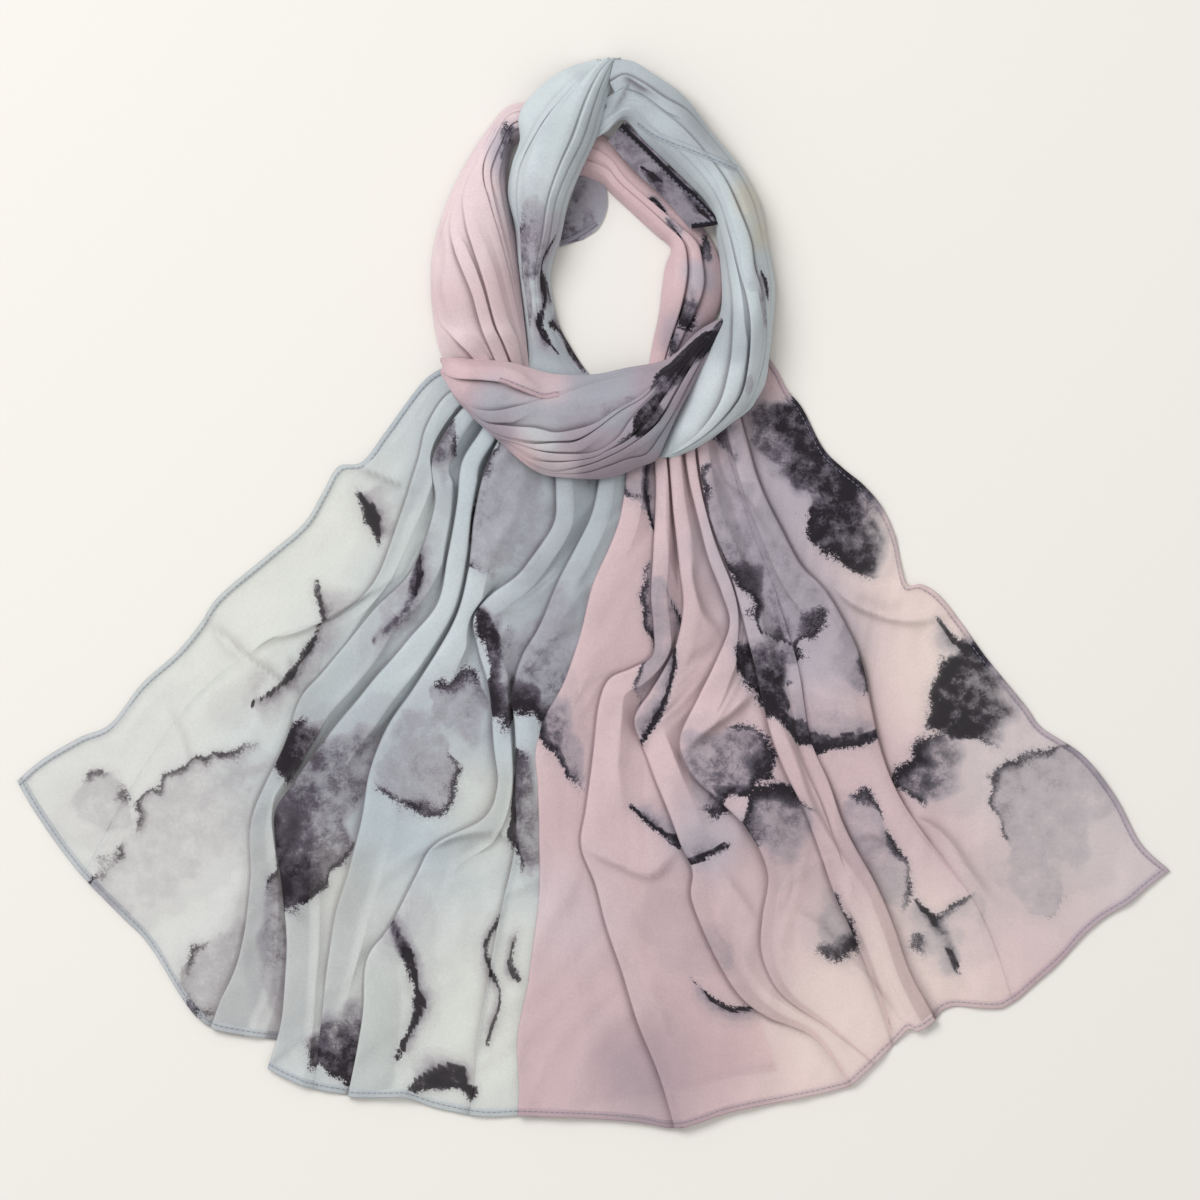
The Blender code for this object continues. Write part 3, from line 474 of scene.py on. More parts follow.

# Creases laid on the cloth: height above or below the cloth, half width, the line, which side of it is sharp
# (1 left, -1 right, 0 neither) and how much painted shade darkens the cloth there. Troughs are negative.
Crease = namedtuple("Crease", "height width line sharp shade", defaults=(0, 0.0))
CREASES = named(Crease, {
    "left_fall": (
        (3, 7, ((-136, 73), (-122, 67), (-108, 61)), -1, 0.45),
        (-2.5, 7, ((-113, 55), (-117, 40), (-122, 28))),
        (-2, 6, ((-140, 60), (-134, 40), (-122, 26)), 0, 0.12),
        (3.6, 9, ((-223, -17), (-213, -25), (-200, -37), (-185, -48), (-170, -61)), 1, 0.5),
        (2, 6, ((-226, -8), (-216, -28), (-204, -40)), -1, 0.3),
        (-3.5, 7, ((-205, -20), (-190, -32), (-176, -42))),
        (4, 8, ((-200, -36), (-188, -27), (-175, -24), (-158, -17), (-140, -6), (-122, 4)), -1, 0.36),
        (3.4, 6, ((-176, -34), (-173, -46), (-169, -62)), -1, 0.6),
        (1.2, 14, ((-304, -145), (-272, -135), (-235, -133), (-202, -134)), 1, 0.2),
        (2.6, 9, ((-250, -62), (-238, -84), (-232, -112)), 1, 0.10),
        (2.4, 12, ((-199, -128), (-200, -160), (-206, -200), (-222, -236)), -1, 0.3),
        (-2.5, 7, ((-75, -140), (-66, -160), (-62, -190))),
        (3, 8, ((-98, -150), (-78, -141), (-56, -140), (-34, -152)), -1, 0.16),
        (-2, 5, ((-101, -215), (-102, -250), (-101, -290))),
        (2, 4, ((-12, 10), (-8, 2), (-3, 0))),
        (2, 7, ((-40, 80), (-44, 50), (-60, 20))),
        (-2, 8, ((-20, 20), (-34, -4), (-48, -30))),
        (1.6, 7, ((-240, -90), (-268, -130), (-290, -150))),
        (1.6, 8, ((-190, -140), (-206, -180), (-224, -214))),
    ),
    "right_fall": (
        (5, 6, ((139, 3), (152, -8), (170, -15), (188, -17), (204, -13)), -1, 0.26),
        (-4, 4, ((150, 0), (160, -4), (172, -8), (182, -3)), 0, 0.22),
        (3, 5, ((128, 10), (140, -14), (150, -36)), -1, 0.15),
        (4.6, 8, ((182, -133), (192, -132), (206, -142), (218, -160), (232, -178)), 1, 0.48),
        (2.5, 5, ((167, -173), (182, -194), (207, -222), (221, -231))),
        (2.5, 6, ((70, 75), (76, 66), (92, 52), (104, 30)), -1, 0.2),
        (4, 6, ((57, 22), (58, 6), (64, -12), (76, -26)), 1, 0.3),
        (4, 8, ((52, -92), (66, -80), (80, -70), (92, -58)), -1, 0.4),
        (3, 9, ((-4, -149), (14, -158), (34, -164), (50, -148)), -1, 0.24),
        (1.6, 9, ((-22, -157), (-11, -205), (-3, -258)), -1, 0.14),
        (2, 7, ((76, -163), (86, -176), (95, -190)), 1, 0.22),
        (2.8, 10, ((113, -186), (128, -190), (159, -223), (177, -246)), 1, 0.26),
        (2.4, 6, ((150, -145), (161, -140), (173, -147)), -1, 0.24),
        (2, 3, ((42, 75), (42, 40), (44, 20), (50, 0))),
        (2.5, 6, ((20, -60), (14, -90), (18, -130))),
        (-2.5, 7, ((36, -64), (30, -100), (30, -150))),
        (3.4, 8, ((104, -66), (116, -92), (126, -120), (140, -146), (158, -172)), 1, 0.26),
        (2.6, 9, ((150, -146), (126, -156), (112, -170), (104, -196)), -1, 0.2),
        (-2, 7, ((124, -140), (134, -176), (146, -206))),
        (2, 8, ((240, -110), (262, -150), (276, -186))),
        (-2, 9, ((200, -120), (232, -160), (248, -200))),
        (2, 7, ((16, -180), (30, -220), (46, -262))),
    ),
    "outer_right_strand": (
        # Painted shade: this crease stands for the dark hollow under the fold beside the crown.
        (1, 4, ((17, 299.5), (22, 296.6), (27, 293), (34, 288.6)), -1, 0.95),
        (1, 1.6, ((22, 301), (20.6, 295), (17, 287), (10, 277)), 0, 0.7),
    ),
    "outer_left_strand": ((1.2, 5, ((-88, 216), (-86, 196), (-88, 176), (-84, 160)), -1, 0.14),),
    "inner_left_strand": (
        (1.4, 6, ((-22, 290), (-34, 262), (-40, 240), (-40, 214)), -1, 0.12),
        (1.6, 5, ((-34, 216), (-28, 196), (-26, 180)), -1, 0.2),
    ),
})

# The cut of what shows of each stretch in metres, its flat area, how it is held and what it lies on.
Cut = namedtuple("Cut", "width length area held rests_on")

# ---------------------------------------------------------------- tables: colour and print

COLOURS = {
    "aqua": (217, 226, 230), "pale_aqua": (234, 239, 235), "sea": (204, 216, 222), "ice": (209, 219, 223),
    "mist": (232, 235, 235), "slate": (184, 193, 200), "lilac": (196, 189, 200), "wash": (166, 160, 171),
    "smoke": (104, 97, 109), "charcoal": (42, 37, 44), "pink": (230, 204, 208), "rose": (226, 196, 200),
    "peach": (253, 231, 226), "mauve": (225, 211, 217), "sand": (226, 222, 209), "thread": (124, 126, 142),
    "blush": (238, 217, 221), "steel": (174, 177, 187), "dusk": (175, 161, 172),
}

# A wash of ground colour laid on the cloth: its middle, its reach, its colour, and how much of what
# lies behind it is hidden there. The first row of each stretch is the ground between the washes.
Wash = namedtuple("Wash", "x y reach colour cover")
WASHES = named(Wash, {
    "left_fall": (
        (0, 0, 0, "aqua", 0.78), (-290, -112, 60, "mist", 0.46), (-235, -195, 60, "mist", 0.50),
        (-205, -30, 55, "pale_aqua", 0.40), (-150, 52, 36, "pale_aqua", 0.40), (-190, -92, 30, "aqua", 0.72),
        (-118, 70, 24, "aqua", 0.74), (-142, -62, 34, "sea", 0.92), (-90, -18, 40, "aqua", 0.97),
        (-50, 66, 34, "sea", 1.0), (-8, 60, 26, "slate", 1.0), (-18, -22, 34, "slate", 1.0),
        (-52, -64, 36, "sea", 1.0), (-150, -168, 20, "pale_aqua", 0.45), (-192, -205, 34, "mist", 0.80),
        (-124, -128, 34, "sea", 0.90), (-116, -240, 34, "pale_aqua", 0.78), (-112, -196, 24, "mist", 0.9),
        (-58, -250, 44, "pale_aqua", 0.46), (-62, -120, 24, "pale_aqua", 0.60)),
    "right_fall": (
        (0, 0, 0, "pink", 0.84), (20, 40, 30, "pink", 1.0), (56, 58, 18, "pink", 1.0),
        (92, 46, 30, "lilac", 1.0), (136, 74, 24, "lilac", 0.90), (124, -22, 32, "lilac", 1.0),
        (178, 22, 26, "peach", 0.50), (206, -36, 38, "peach", 0.50), (250, -96, 36, "mauve", 0.56),
        (300, -152, 42, "mauve", 0.54), (236, -178, 40, "pink", 0.54), (152, -112, 36, "pink", 0.86),
        (62, -78, 34, "pink", 0.98), (26, -112, 34, "pink", 0.98), (8, -232, 50, "pink", 0.88),
        (92, -200, 34, "pink", 0.76), (126, -244, 40, "peach", 0.50), (194, -216, 34, "peach", 0.54),
        (66, -262, 30, "rose", 0.82), (-20, -60, 26, "pink", 0.96), (-14, -190, 22, "mauve", 0.95),
        (30, -272, 26, "dusk", 0.85), (64, -140, 20, "lilac", 0.95)),
    "outer_left_strand": (
        (0, 0, 0, "blush", 1.0), (-74, 200, 14, "blush", 1.0), (-50, 256, 8, "lilac", 1.0),
        (-48, 226, 6, "mauve", 1.0), (-86, 170, 8, "pink", 1.0), (-62, 172, 10, "pink", 1.0)),
    "inner_right_strand": (
        # The rose ground of this strand is partly its own colour and partly painted shade.
        (0, 0, 0, "rose", 1.0), (62, 180, 6, "lilac", 1.0), (20, 238, 9, "rose", 1.0),
        (52, 150, 9, "dusk", 1.0)),
    "inner_left_strand": (
        (0, 0, 0, "ice", 1.0), (-26, 238, 12, "aqua", 1.0), (-12, 140, 14, "slate", 1.0),
        (-46, 212, 7, "slate", 1.0), (-20, 280, 22, "ice", 1.0), (-30, 206, 8, "lilac", 1.0)),
    "outer_right_strand": (
        # The slate wash at (56, 272) is painted shade on the top of the loop's right side.
        (0, 0, 0, "ice", 1.0), (56, 272, 18, "slate", 1.0), (66, 104, 14, "aqua", 1.0),
        (20, 290, 14, "slate", 1.0), (80, 150, 10, "slate", 1.0), (94, 226, 7, "sand", 0.9),
        (100, 208, 6, "sand", 0.9), (84, 120, 10, "aqua", 1.0)),
    "front_band": (
        (0, 0, 0, "dusk", 1.0), (-72, 131, 12, "rose", 1.0), (-44, 126, 13, "pink", 1.0),
        (-22, 122, 9, "pink", 1.0), (-56, 111, 10, "steel", 1.0), (-30, 103, 14, "steel", 1.0),
        (-6, 110, 16, "steel", 1.0), (12, 118, 14, "steel", 1.0), (-10, 90, 12, "dusk", 1.0),
        (-20, 71, 8, "mauve", 1.0), (-40, 82, 8, "rose", 1.0), (-56, 92, 8, "dusk", 1.0),
        (34, 112, 14, "dusk", 1.0), (16, 80, 10, "dusk", 1.0), (4, 73, 7, "dusk", 1.0),
        (40, 94, 10, "steel", 1.0), (-30, 92, 10, "mist", 1.0)),
    "top_lappet": ((0, 0, 0, "steel", 0.95), (-6, 236, 12, "wash", 0.97)),
    "turned_edge": ((0, 0, 0, "wash", 1.0), (26, 252, 16, "smoke", 1.0), (52, 226, 14, "smoke", 1.0)),
})

# Strokes of a wide brush on the cloth, drawn where the cloth shows it: half width at the start, middle and
# end, the side on which the ink runs out into a wash, and how far it runs.
WASH_LEFT = 1
WASH_RIGHT = -1
Stroke = namedtuple("Stroke", "widths side reach line")
STROKES = named(Stroke, {
    "left_fall": (
        ((1, 3, 1), WASH_LEFT, 16, ((-172, 12), (-164, -20), (-178, -50), (-204, -66))),
        ((1, 3, 1), WASH_LEFT, 10, ((-112, 46), (-102, 20), (-108, -8), (-128, -28))),
        ((1, 3, 1.5), WASH_LEFT, 8, ((-128, -176), (-110, -206), (-102, -240), (-116, -270))),
        ((1, 2, 1), WASH_RIGHT, 5, ((-56, -180), (-68, -204), (-54, -232), (-62, -262))),
        ((1, 2, 1), WASH_RIGHT, 5, ((-44, -196), (-48, -214), (-42, -226))),
        ((4, 8, 5), WASH_LEFT, 9, ((-104, -287), (-88, -282), (-70, -290))),
        ((2, 5, 1), WASH_LEFT, 14, ((-138, 58), (-128, 44), (-124, 28))),
    ),
    "right_fall": (
        ((4, 7, 2), WASH_LEFT, 18, ((88, -66), (112, -84), (140, -88), (170, -80))),
        ((1, 3, 1), WASH_RIGHT, 14, ((26, -6), (44, -34), (40, -66), (24, -92))),
        ((1, 3, 1), WASH_RIGHT, 10, ((198, -14), (212, -30), (236, -34), (250, -50))),
        ((1.5, 4, 1.5), WASH_LEFT, 12, ((-2, -136), (24, -152), (54, -156), (78, -146))),
        ((1, 2, 1), WASH_RIGHT, 8, ((56, -226), (76, -240), (100, -238))),
        ((1, 3, 1), WASH_RIGHT, 14, ((184, -176), (204, -198), (212, -224))),
        ((1, 2.5, 1), WASH_LEFT, 10, ((34, 84), (30, 60), (38, 34))),
    ),
    "inner_left_strand": (
        ((1, 3, 2), WASH_RIGHT, 8, ((-22, 206), (-33, 190), (-27, 172), (-36, 156), (-24, 140))),
        ((2, 3, 3), WASH_LEFT, 8, ((-28, 158), (-16, 148), (-8, 132))),
    ),
    "inner_right_strand": (
        ((0.8, 2, 1), WASH_LEFT, 3, ((42, 217), (46, 211), (50, 202))),
        ((1, 2, 1), WASH_LEFT, 3, ((30, 228), (36, 226), (42, 218)))),
    "outer_right_strand": (((1, 2.5, 1), WASH_RIGHT, 8, ((96, 186), (101, 180), (103, 170))),),
    "outer_left_strand": (((0.5, 2, 1), WASH_LEFT, 6, ((-47, 272), (-50, 264), (-53, 252))),),
    "turned_edge": (
        ((1, 3, 1), WASH_LEFT, 8, ((26, 248), (36, 238), (44, 222))),
        ((2, 3, 1), WASH_RIGHT, 4, ((50, 236), (60, 224), (70, 214)))),
})

# Islands of ink: the middle, the half sizes, how far they are turned in degrees, how dark they are filled,
# and the darker rim, which is widest towards rim_to in degrees and gone on the other side.
Island = namedtuple("Island", "x y wide tall turned fill rim rim_to")
ISLANDS = named(Island, {
    "left_fall": (
        (-232, -142, 66, 36, 28, 0.30, 5, 130), (-288, -128, 26, 20, 0, 0.34, 3, 60),
        (-208, -214, 38, 28, 60, 0.40, 3, 200), (-154, -120, 32, 66, -24, 0.86, 13, 200),
        (-168, -92, 18, 22, -20, 1.25, 9, 180), (-104, -92, 28, 38, 12, 0.44, 4, -60),
        (-180, -200, 24, 50, -6, 0.72, 11, 20), (-46, 44, 38, 46, 10, 0.44, 5, 160),
        (-34, -34, 38, 50, -30, 0.62, 10, 240), (-58, -22, 12, 18, 10, 1.2, 6, 200),
        (-76, -72, 20, 30, 10, 0.50, 4, 90), (-88, 78, 13, 26, 0, 0.66, 7, 100),
        (-40, -128, 18, 40, 6, 0.86, 11, 180), (-146, -256, 22, 30, 0, 1.1, 6, -90),
        (-14, 78, 18, 20, 0, 0.50, 5, 45), (-204, -60, 22, 12, 50, 0.24, 0, 0),
        (-116, -10, 14, 44, -20, 0.34, 3, 0), (-110, -190, 16, 30, 20, 0.22, 2, 160)),
    "right_fall": (
        (124, 84, 46, 36, -38, 1.35, 12, 20), (152, 42, 30, 30, -20, 1.25, 9, 200),
        (100, 26, 40, 66, 22, 0.50, 9, 230), (96, -46, 28, 28, 0, 1.35, 12, 250),
        (224, -60, 34, 30, 20, 1.3, 12, 190), (200, -104, 28, 22, 0, 0.86, 10, 160),
        (270, -126, 46, 38, -30, 0.48, 4, 150), (246, -164, 28, 24, 0, 0.40, 2, 0),
        (64, -104, 42, 30, 20, 0.70, 10, -30), (112, -136, 30, 28, 0, 0.62, 8, 120),
        (38, -22, 20, 44, 6, 0.46, 5, 190), (160, -150, 22, 38, 16, 0.44, 5, 30),
        (-18, -78, 16, 30, 14, 0.66, 7, 210), (32, 66, 18, 22, 0, 0.40, 3, 200),
        (140, -188, 20, 26, 20, 0.50, 8, -30), (60, -198, 42, 22, 0, 0.20, 0, 0),
        (214, -196, 28, 20, 30, 0.30, 4, 140), (146, -38, 18, 24, 20, 0.50, 6, 0),
        (82, 88, 16, 18, 0, 0.60, 5, 180)),
    "inner_left_strand": (
        (-32, 206, 18, 26, 10, 0.62, 4, 200), (-12, 142, 14, 14, 0, 0.95, 5, 0),
        (-38, 178, 9, 24, 0, 0.60, 4, 200), (-24, 168, 6, 16, 20, 0.7, 4, 60)),
    "inner_right_strand": (
        (57, 168, 12, 18, 10, 1.0, 6, 250), (66, 192, 6, 14, 0, 0.70, 3, 90), (50, 146, 9, 9, 0, 0.8, 4, 200),
        (46, 214, 6, 10, 40, 0.5, 2, 20)),
    "outer_right_strand": (
        (98, 172, 8, 26, 0, 0.60, 3, 0), (70, 262, 18, 10, -40, 0.14, 0, 0), (88, 120, 5, 12, 0, 0.4, 2, 0)),
    "outer_left_strand": ((-51, 256, 8, 20, 14, 0.60, 3, 40), (-47, 222, 5, 18, 8, 0.50, 2, 0)),
    "front_band": (
        (50, 128, 36, 18, 42, 1.45, 10, 90), (36, 104, 18, 14, 30, 1.2, 8, 200),
        (-8, 102, 34, 9, 14, 0.40, 0, 0), (-58, 100, 14, 8, 20, 0.30, 0, 0), (70, 152, 12, 10, 0, 1.3, 4, 0),
        (20, 88, 16, 9, 30, 0.5, 3, 90)),
    "top_lappet": ((-6, 224, 18, 26, 0, 0.70, 2, 200),),
    "turned_edge": (
        (20, 258, 24, 16, -45, 0.74, 5, 90), (46, 230, 26, 14, -40, 0.66, 4, 60),
        (64, 214, 10, 7, 0, 1.0, 3, -90)),
})


# ---------------------------------------------------------------- lines and sections

def ease(value):
    """A soft step from 0 to 1."""
    value = np.clip(value, 0.0, 1.0)
    return value * value * (3.0 - 2.0 * value)


def within(limit, room):
    """The lesser of a distance in millimetres and a share of the room: limit holds both."""
    return np.minimum(limit[0], limit[1] * room)


def along_values(values, stations):
    """A row of values spread evenly over the length, eased between, at each station."""
    values = np.asarray(values, float)
    places = np.linspace(0.0, len(values) - 1.0, stations)
    k = np.minimum(places.astype(int), len(values) - 2)
    return values[k] + (values[k + 1] - values[k]) * ease(places - k)


def smooth_curve(points, per_span=16):
    """Points on a smooth curve through a table's points."""
    points = np.asarray(points, float)
    padded = np.vstack([2 * points[0] - points[1], points, 2 * points[-1] - points[-2]])
    out = []
    u = np.linspace(0.0, 1.0, per_span, endpoint=False)[:, None]
    for a, b, c, d in zip(padded, padded[1:], padded[2:], padded[3:]):
        out.append(0.5 * (2 * b + (c - a) * u + (2 * a - 5 * b + 4 * c - d) * u ** 2
                          + (3 * b - a - 3 * c + d) * u ** 3))
    return np.vstack(out + [points[-1:]])


class Line:
    """A smooth line at even shares of its length, with the direction to its right."""

    def __init__(self, points, stations):
        self.curve = smooth_curve(points)
        steps = np.hypot(*np.diff(self.curve, axis=0).T)
        self.run = np.concatenate([[0.0], np.cumsum(steps)])
        self.length = self.run[-1]
        self.share = np.linspace(0.0, 1.0, stations)
        self.place = self.at(self.share)
        self.right = self.rightward(self.share)

    def at(self, share):
        wanted = np.clip(share, 0.0, 1.0) * self.length
        return np.stack([np.interp(wanted, self.run, self.curve[:, i]) for i in (0, 1)], axis=-1)

    def rightward(self, share):
        ahead = self.at(share + DIRECTION_SPAN) - self.at(share - DIRECTION_SPAN)
        right = np.stack([-ahead[..., 1], ahead[..., 0]], axis=-1)
        return right / np.linalg.norm(right, axis=-1, keepdims=True)


def room_between(a, b):
    """The distance from one line to the next, at each station."""
    right = a.right + b.right
    right /= np.linalg.norm(right, axis=1, keepdims=True)
    return np.maximum(LEAST_ROOM, ((b.place - a.place) * right).sum(1))


def unit(vectors):
    """Directions on the table."""
    flat = vectors.copy()
    flat[:, 2] = 0.0
    return flat / np.maximum(TINY, np.linalg.norm(flat, axis=1, keepdims=True))


def joined(place, height, shade=0.0):
    """A column of points: place, height, and how much painted shade of a fold darkens it there."""
    count = len(place)
    return np.column_stack([place, np.broadcast_to(height, count), np.broadcast_to(shade, count)])


def fold_block(fold, line, room_before, room_after):
    """The columns of points that a sheet passes at one fold, in the order of the cloth.

    The crest is the fold's edge that shows. The cloth dives under it to the tuck, where it turns back.
    """
    stations = len(line.share)
    flipped = fold.faces == TO_RIGHT
    sign = -1.0 if flipped else 1.0
    ahead, behind = (room_before, room_after) if flipped else (room_after, room_before)
    onward = line.right * sign
    walk = line.share * line.length
    stray = within(CREST_STRAY, np.minimum(ahead, behind)) * soft_noise(walk / CREST_WAVE, line.length, 7)
    crest = line.place + line.right * stray[:, None]
    squeeze = np.minimum(1.0, np.minimum(ahead, behind) / FULL_ROOM)
    change = 1.0 + RISE_CHANGE * soft_noise(walk / RISE_WAVE, 0.0, 8)
    rise = along_values(fold.rise, stations) * squeeze * change
    layer = np.minimum(LAYER, rise / LAYER_RISE)
    overlap = np.minimum(along_values(fold.overlap, stations), MOST_OVERLAP * ahead)
    low = LOW + along_values(fold.lift, stations) * LAYER
    share = line.share - fold.lead / line.length * line.share ** 2
    tuck_onward = line.rightward(share) * sign
    tuck = line.at(share) + tuck_onward * overlap[:, None]
    # Painted shade: how much this fold darkens the cloth's colour at its edge and where the cloth goes under
    # it.
    shade = np.minimum(1.0, rise / FULL_SHADE_RISE)
    thin = within(FOLD_EDGE, ahead)[:, None]
    shoulder = np.minimum(overlap + SHOULDER * squeeze, MOST_SHOULDER * ahead)[:, None]
    turn = low + layer * TURN_SHARE
    lips = [low + layer + part * (rise - layer) for part in LIP_SHARES]
    body = [
        joined(crest + onward * thin * 2, turn, shade),
        joined(crest - onward * thin, lips[0], LIP_SHADE * shade),
        joined(crest + onward * thin, lips[1]),
        joined(crest + onward * within(LIP_NEAR, shoulder), lips[2]),
        joined(crest + onward * within(LIP_WIDE, shoulder), lips[3]),
        joined(crest + onward * shoulder, lips[4]),
    ]
    if fold.faces == EDGE_TURN:
        far, near = TURNED_UNDER
        under = [joined(crest + onward * far, LOW), joined(crest + onward * near, LOW + LAYER * TURN_SHARE)]
        return under + body
    under = [
        joined(crest - onward * within(DIVE, behind)[:, None], low, DIVE_SHADE * shade),
        joined(tuck - tuck_onward * thin * 2, low + 0.05 * layer, shade),
        joined(tuck, low + 0.5 * layer, shade),
        joined(tuck - tuck_onward * thin * 2, low + 0.95 * layer, shade),
    ]
    block = under + body
    return block[::-1] if flipped else block


def panel(a, b):
    """Columns between two columns: the cloth slopes down from the higher one to the other, and each fold's
    painted shade fades across it.
    """
    width = np.hypot(*(b - a)[:, :2].T)
    count = max(1, int(round(width.mean() / PANEL_STEP)) - 1)
    shares = [k / (count + 1) for k in range(1, count + 1)]
    close = min(PANEL_CLOSE / (count + 1), LIP_NEAR[0] / max(LIP_NEAR[0], width.mean()))
    least = np.minimum(a[:, 2], b[:, 2])
    columns = []
    for share in [close] + shares + [1.0 - close]:
        column = a + (b - a) * share
        fall_a, fall_b = (1.0 - share) ** SLOPE_POWER, share ** SLOPE_POWER
        column[:, 2] = least + (a[:, 2] - least) * fall_a + (b[:, 2] - least) * fall_b
        # Painted shade beside each fold, fading with distance from it.
        shade_a = a[:, 3] * np.exp(-share * width / SHADE_REACH)
        shade_b = b[:, 3] * np.exp(-(1.0 - share) * width / SHADE_REACH)
        column[:, 3] = SHADE_SHARE * np.maximum(shade_a, shade_b)
        columns.append(column)
    return columns


def corner_cut(grid):
    """Rounds the corners of each section across the cloth."""
    for _ in range(CORNER_CUTS):
        a, b = grid[:, :-1], grid[:, 1:]
        new = np.empty((grid.shape[0], 2 * a.shape[1], grid.shape[2]))
        new[:, 0::2] = 0.75 * a + 0.25 * b
        new[:, 1::2] = 0.25 * a + 0.75 * b
        grid = np.concatenate([grid[:, :1], new, grid[:, -1:]], axis=1)
    return grid


def sheet_grid(first_edge, folds, last_edge, stations):
    """A folded sheet from its first edge to its last, and the column where each fold's top layer starts."""
    lines = [Line(points, stations) for points in (first_edge, *(fold.line for fold in folds), last_edge)]
    rooms = [room_between(a, b) for a, b in zip(lines, lines[1:])]
    if folds[0].faces == EDGE_TURN:
        rooms[0] = rooms[1]
    columns = [joined(lines[0].place, LOW)]
    starts = {"start": 0}
    for k, fold in enumerate(folds):
        block = fold_block(fold, lines[k + 1], rooms[k], rooms[k + 1])
        columns.extend(panel(columns[-1], block[0]))
        hidden = 2 if fold.faces == EDGE_TURN else 4
        starts[fold.name] = len(columns) + hidden
        columns.extend(block)
    last = joined(lines[-1].place, LOW)
    columns.extend(panel(columns[-1], last))
    columns.append(last)
    starts["end"] = len(columns)
    return np.stack(columns, axis=1), starts


def fall_grid(fall):
    """One end of the scarf: the last stations of a folded sheet are drawn to where the end hem lies."""
    grid, starts = sheet_grid(fall.first_edge, fall.folds, fall.last_edge, FALL_STATIONS)
    warp = ease((np.linspace(0.0, 1.0, FALL_STATIONS) - HEM_WARP) / (1.0 - HEM_WARP))
    for begin, finish, hem in fall.end_hems:
        hem = np.asarray(hem, float)
        for j in range(starts[begin], starts[finish]):
            x, y = grid[-1, j, :2]
            grid[:, j, 1] += (np.interp(x, hem[:, 0], hem[:, 1]) - y) * warp
    return corner_cut(grid)


def strand_grid(strand):
    """A pleated sheet over a strand's rounded form, turned under at its sides and its ends."""
    folds = [Fold("", p.faces, p.rise, p.overlap, 0, ON_TABLE, p.line) for p in strand.pleats]
    grid = corner_cut(sheet_grid(strand.first_edge, folds, strand.last_edge, strand.stations)[0])
    under = along_values(strand.under, strand.stations)
    crown = along_values(strand.crown, strand.stations)
    side = under + SIDE_SHARE * (crown - under)
    first, last = grid[:, 0, :2], grid[:, -1, :2]
    chord = last - first
    span = np.linalg.norm(chord, axis=1, keepdims=True)
    across = chord / span
    place = ((grid[..., :2] - first[:, None]) * across[:, None]).sum(-1) / span
    arch = 1.0 - np.abs(2.0 * np.clip(place, 0.0, 1.0) - 1.0) ** ARCH_POWER
    grid[..., 2] += side[:, None] + (crown - side)[:, None] * arch - LOW
    inset = within(SIDE_INSET, span)
    bulge = within(SIDE_BULGE, span)
    # The last value of each column is painted shade on the cloth turned under at the strand's sides.
    sides = []
    for edge, inward in ((first, across), (last, -across)):
        sides.append([
            joined(edge + inward * inset, under + UNDERSIDE, 0.8),
            joined(edge + inward * 0.4 * inset, under + 0.35, 0.8),
            joined(edge - inward * 0.3 * bulge, under + 0.35 * (side - under), 0.3),
            joined(edge - inward * 0.2 * bulge, under + 0.8 * (side - under), 0.1),
        ])
    rolled = np.concatenate([np.stack(sides[0], 1), grid, np.stack(sides[1][::-1], 1)], axis=1)
    start = turned_down(rolled[0], rolled[1], under[0])
    finish = turned_down(rolled[-1], rolled[-2], under[-1])
    return np.concatenate([start[::-1], rolled, finish])


def turned_down(end, before, under):
    """Rows that turn a strand's open end down to its underside, with painted shade that deepens as they go
    under.
    """
    outward = unit(end[:, :3] - before[:, :3])
    rows = []
    for distance, share, shade in END_TURN:
        row = end.copy()
        row[:, :3] += outward * distance
        row[:, 2] = end[:, 2] + (under + UNDERSIDE - end[:, 2]) * share
        row[:, 3] = np.maximum(row[:, 3], shade)
        rows.append(row)
    return np.stack(rows)


def leaf_grid(rows):
    """A loose edge, gently waved."""
    fields = np.asarray(rows, float)
    share = np.linspace(0.0, 1.0, LEAF_STATIONS)
    curves = [smooth_curve(np.column_stack([np.linspace(0, 1, len(rows)), field])) for field in fields.T]
    left_x, left_y, right_x, right_y, height = (
        np.interp(share, curve[:, 0], curve[:, 1])[:, None] for curve in curves)
    t = np.linspace(0.0, 1.0, LEAF_COLUMNS)[None, :]
    return np.stack([
        left_x + (right_x - left_x) * t,
        left_y + (right_y - left_y) * t,
        height + LEAF_WAVE * np.sin(math.tau * (t + share[:, None])),
        np.zeros((LEAF_STATIONS, LEAF_COLUMNS)),
    ], axis=-1)


# ---------------------------------------------------------------- soft relief, colour and print

def soft_noise(x, y, seed):
    """A smooth noise of size 1 and waves of about 1 unit, from crossing sines at golden angles."""
    total = np.zeros_like(x)
    for k in range(6):
        angle = 2.399963 * k + 1.7 * seed
        stretch = 0.75 + 0.13 * k
        ahead = (x * math.cos(angle) + y * math.sin(angle)) * stretch * 3.1
        aside = (y * math.cos(angle) - x * math.sin(angle)) * stretch * 1.7
        total += np.sin(ahead + 5.3 * k + 2.1 * seed + 1.3 * np.sin(aside + seed))
    return total / 6 * 1.4


def arc_across(grid):
    """Distance along the cloth from its first edge, at each point of the grid."""
    steps = np.linalg.norm(np.diff(grid[..., :3], axis=1), axis=-1)
    return np.concatenate([np.zeros((grid.shape[0], 1)), np.cumsum(steps, axis=1)], axis=1)


def arc_along(grid):
    """Distance along the cloth from its first station."""
    steps = np.linalg.norm(np.diff(grid[..., :3], axis=0), axis=-1)
    middle = np.median(steps, axis=1)
    return np.broadcast_to(np.concatenate([[0.0], np.cumsum(middle)])[:, None], grid.shape[:2])


def hidden_shift(grid):
    """How far the cloth is drawn in by its folds, at each point, as a shift on the table."""
    first, last = grid[:, 0, :2], grid[:, -1, :2]
    chord = last - first
    chord /= np.maximum(TINY, np.linalg.norm(chord, axis=1, keepdims=True))
    progress = ((grid[..., :2] - first[:, None]) * chord[:, None]).sum(-1)
    return (arc_across(grid) - progress)[..., None] * chord[:, None]


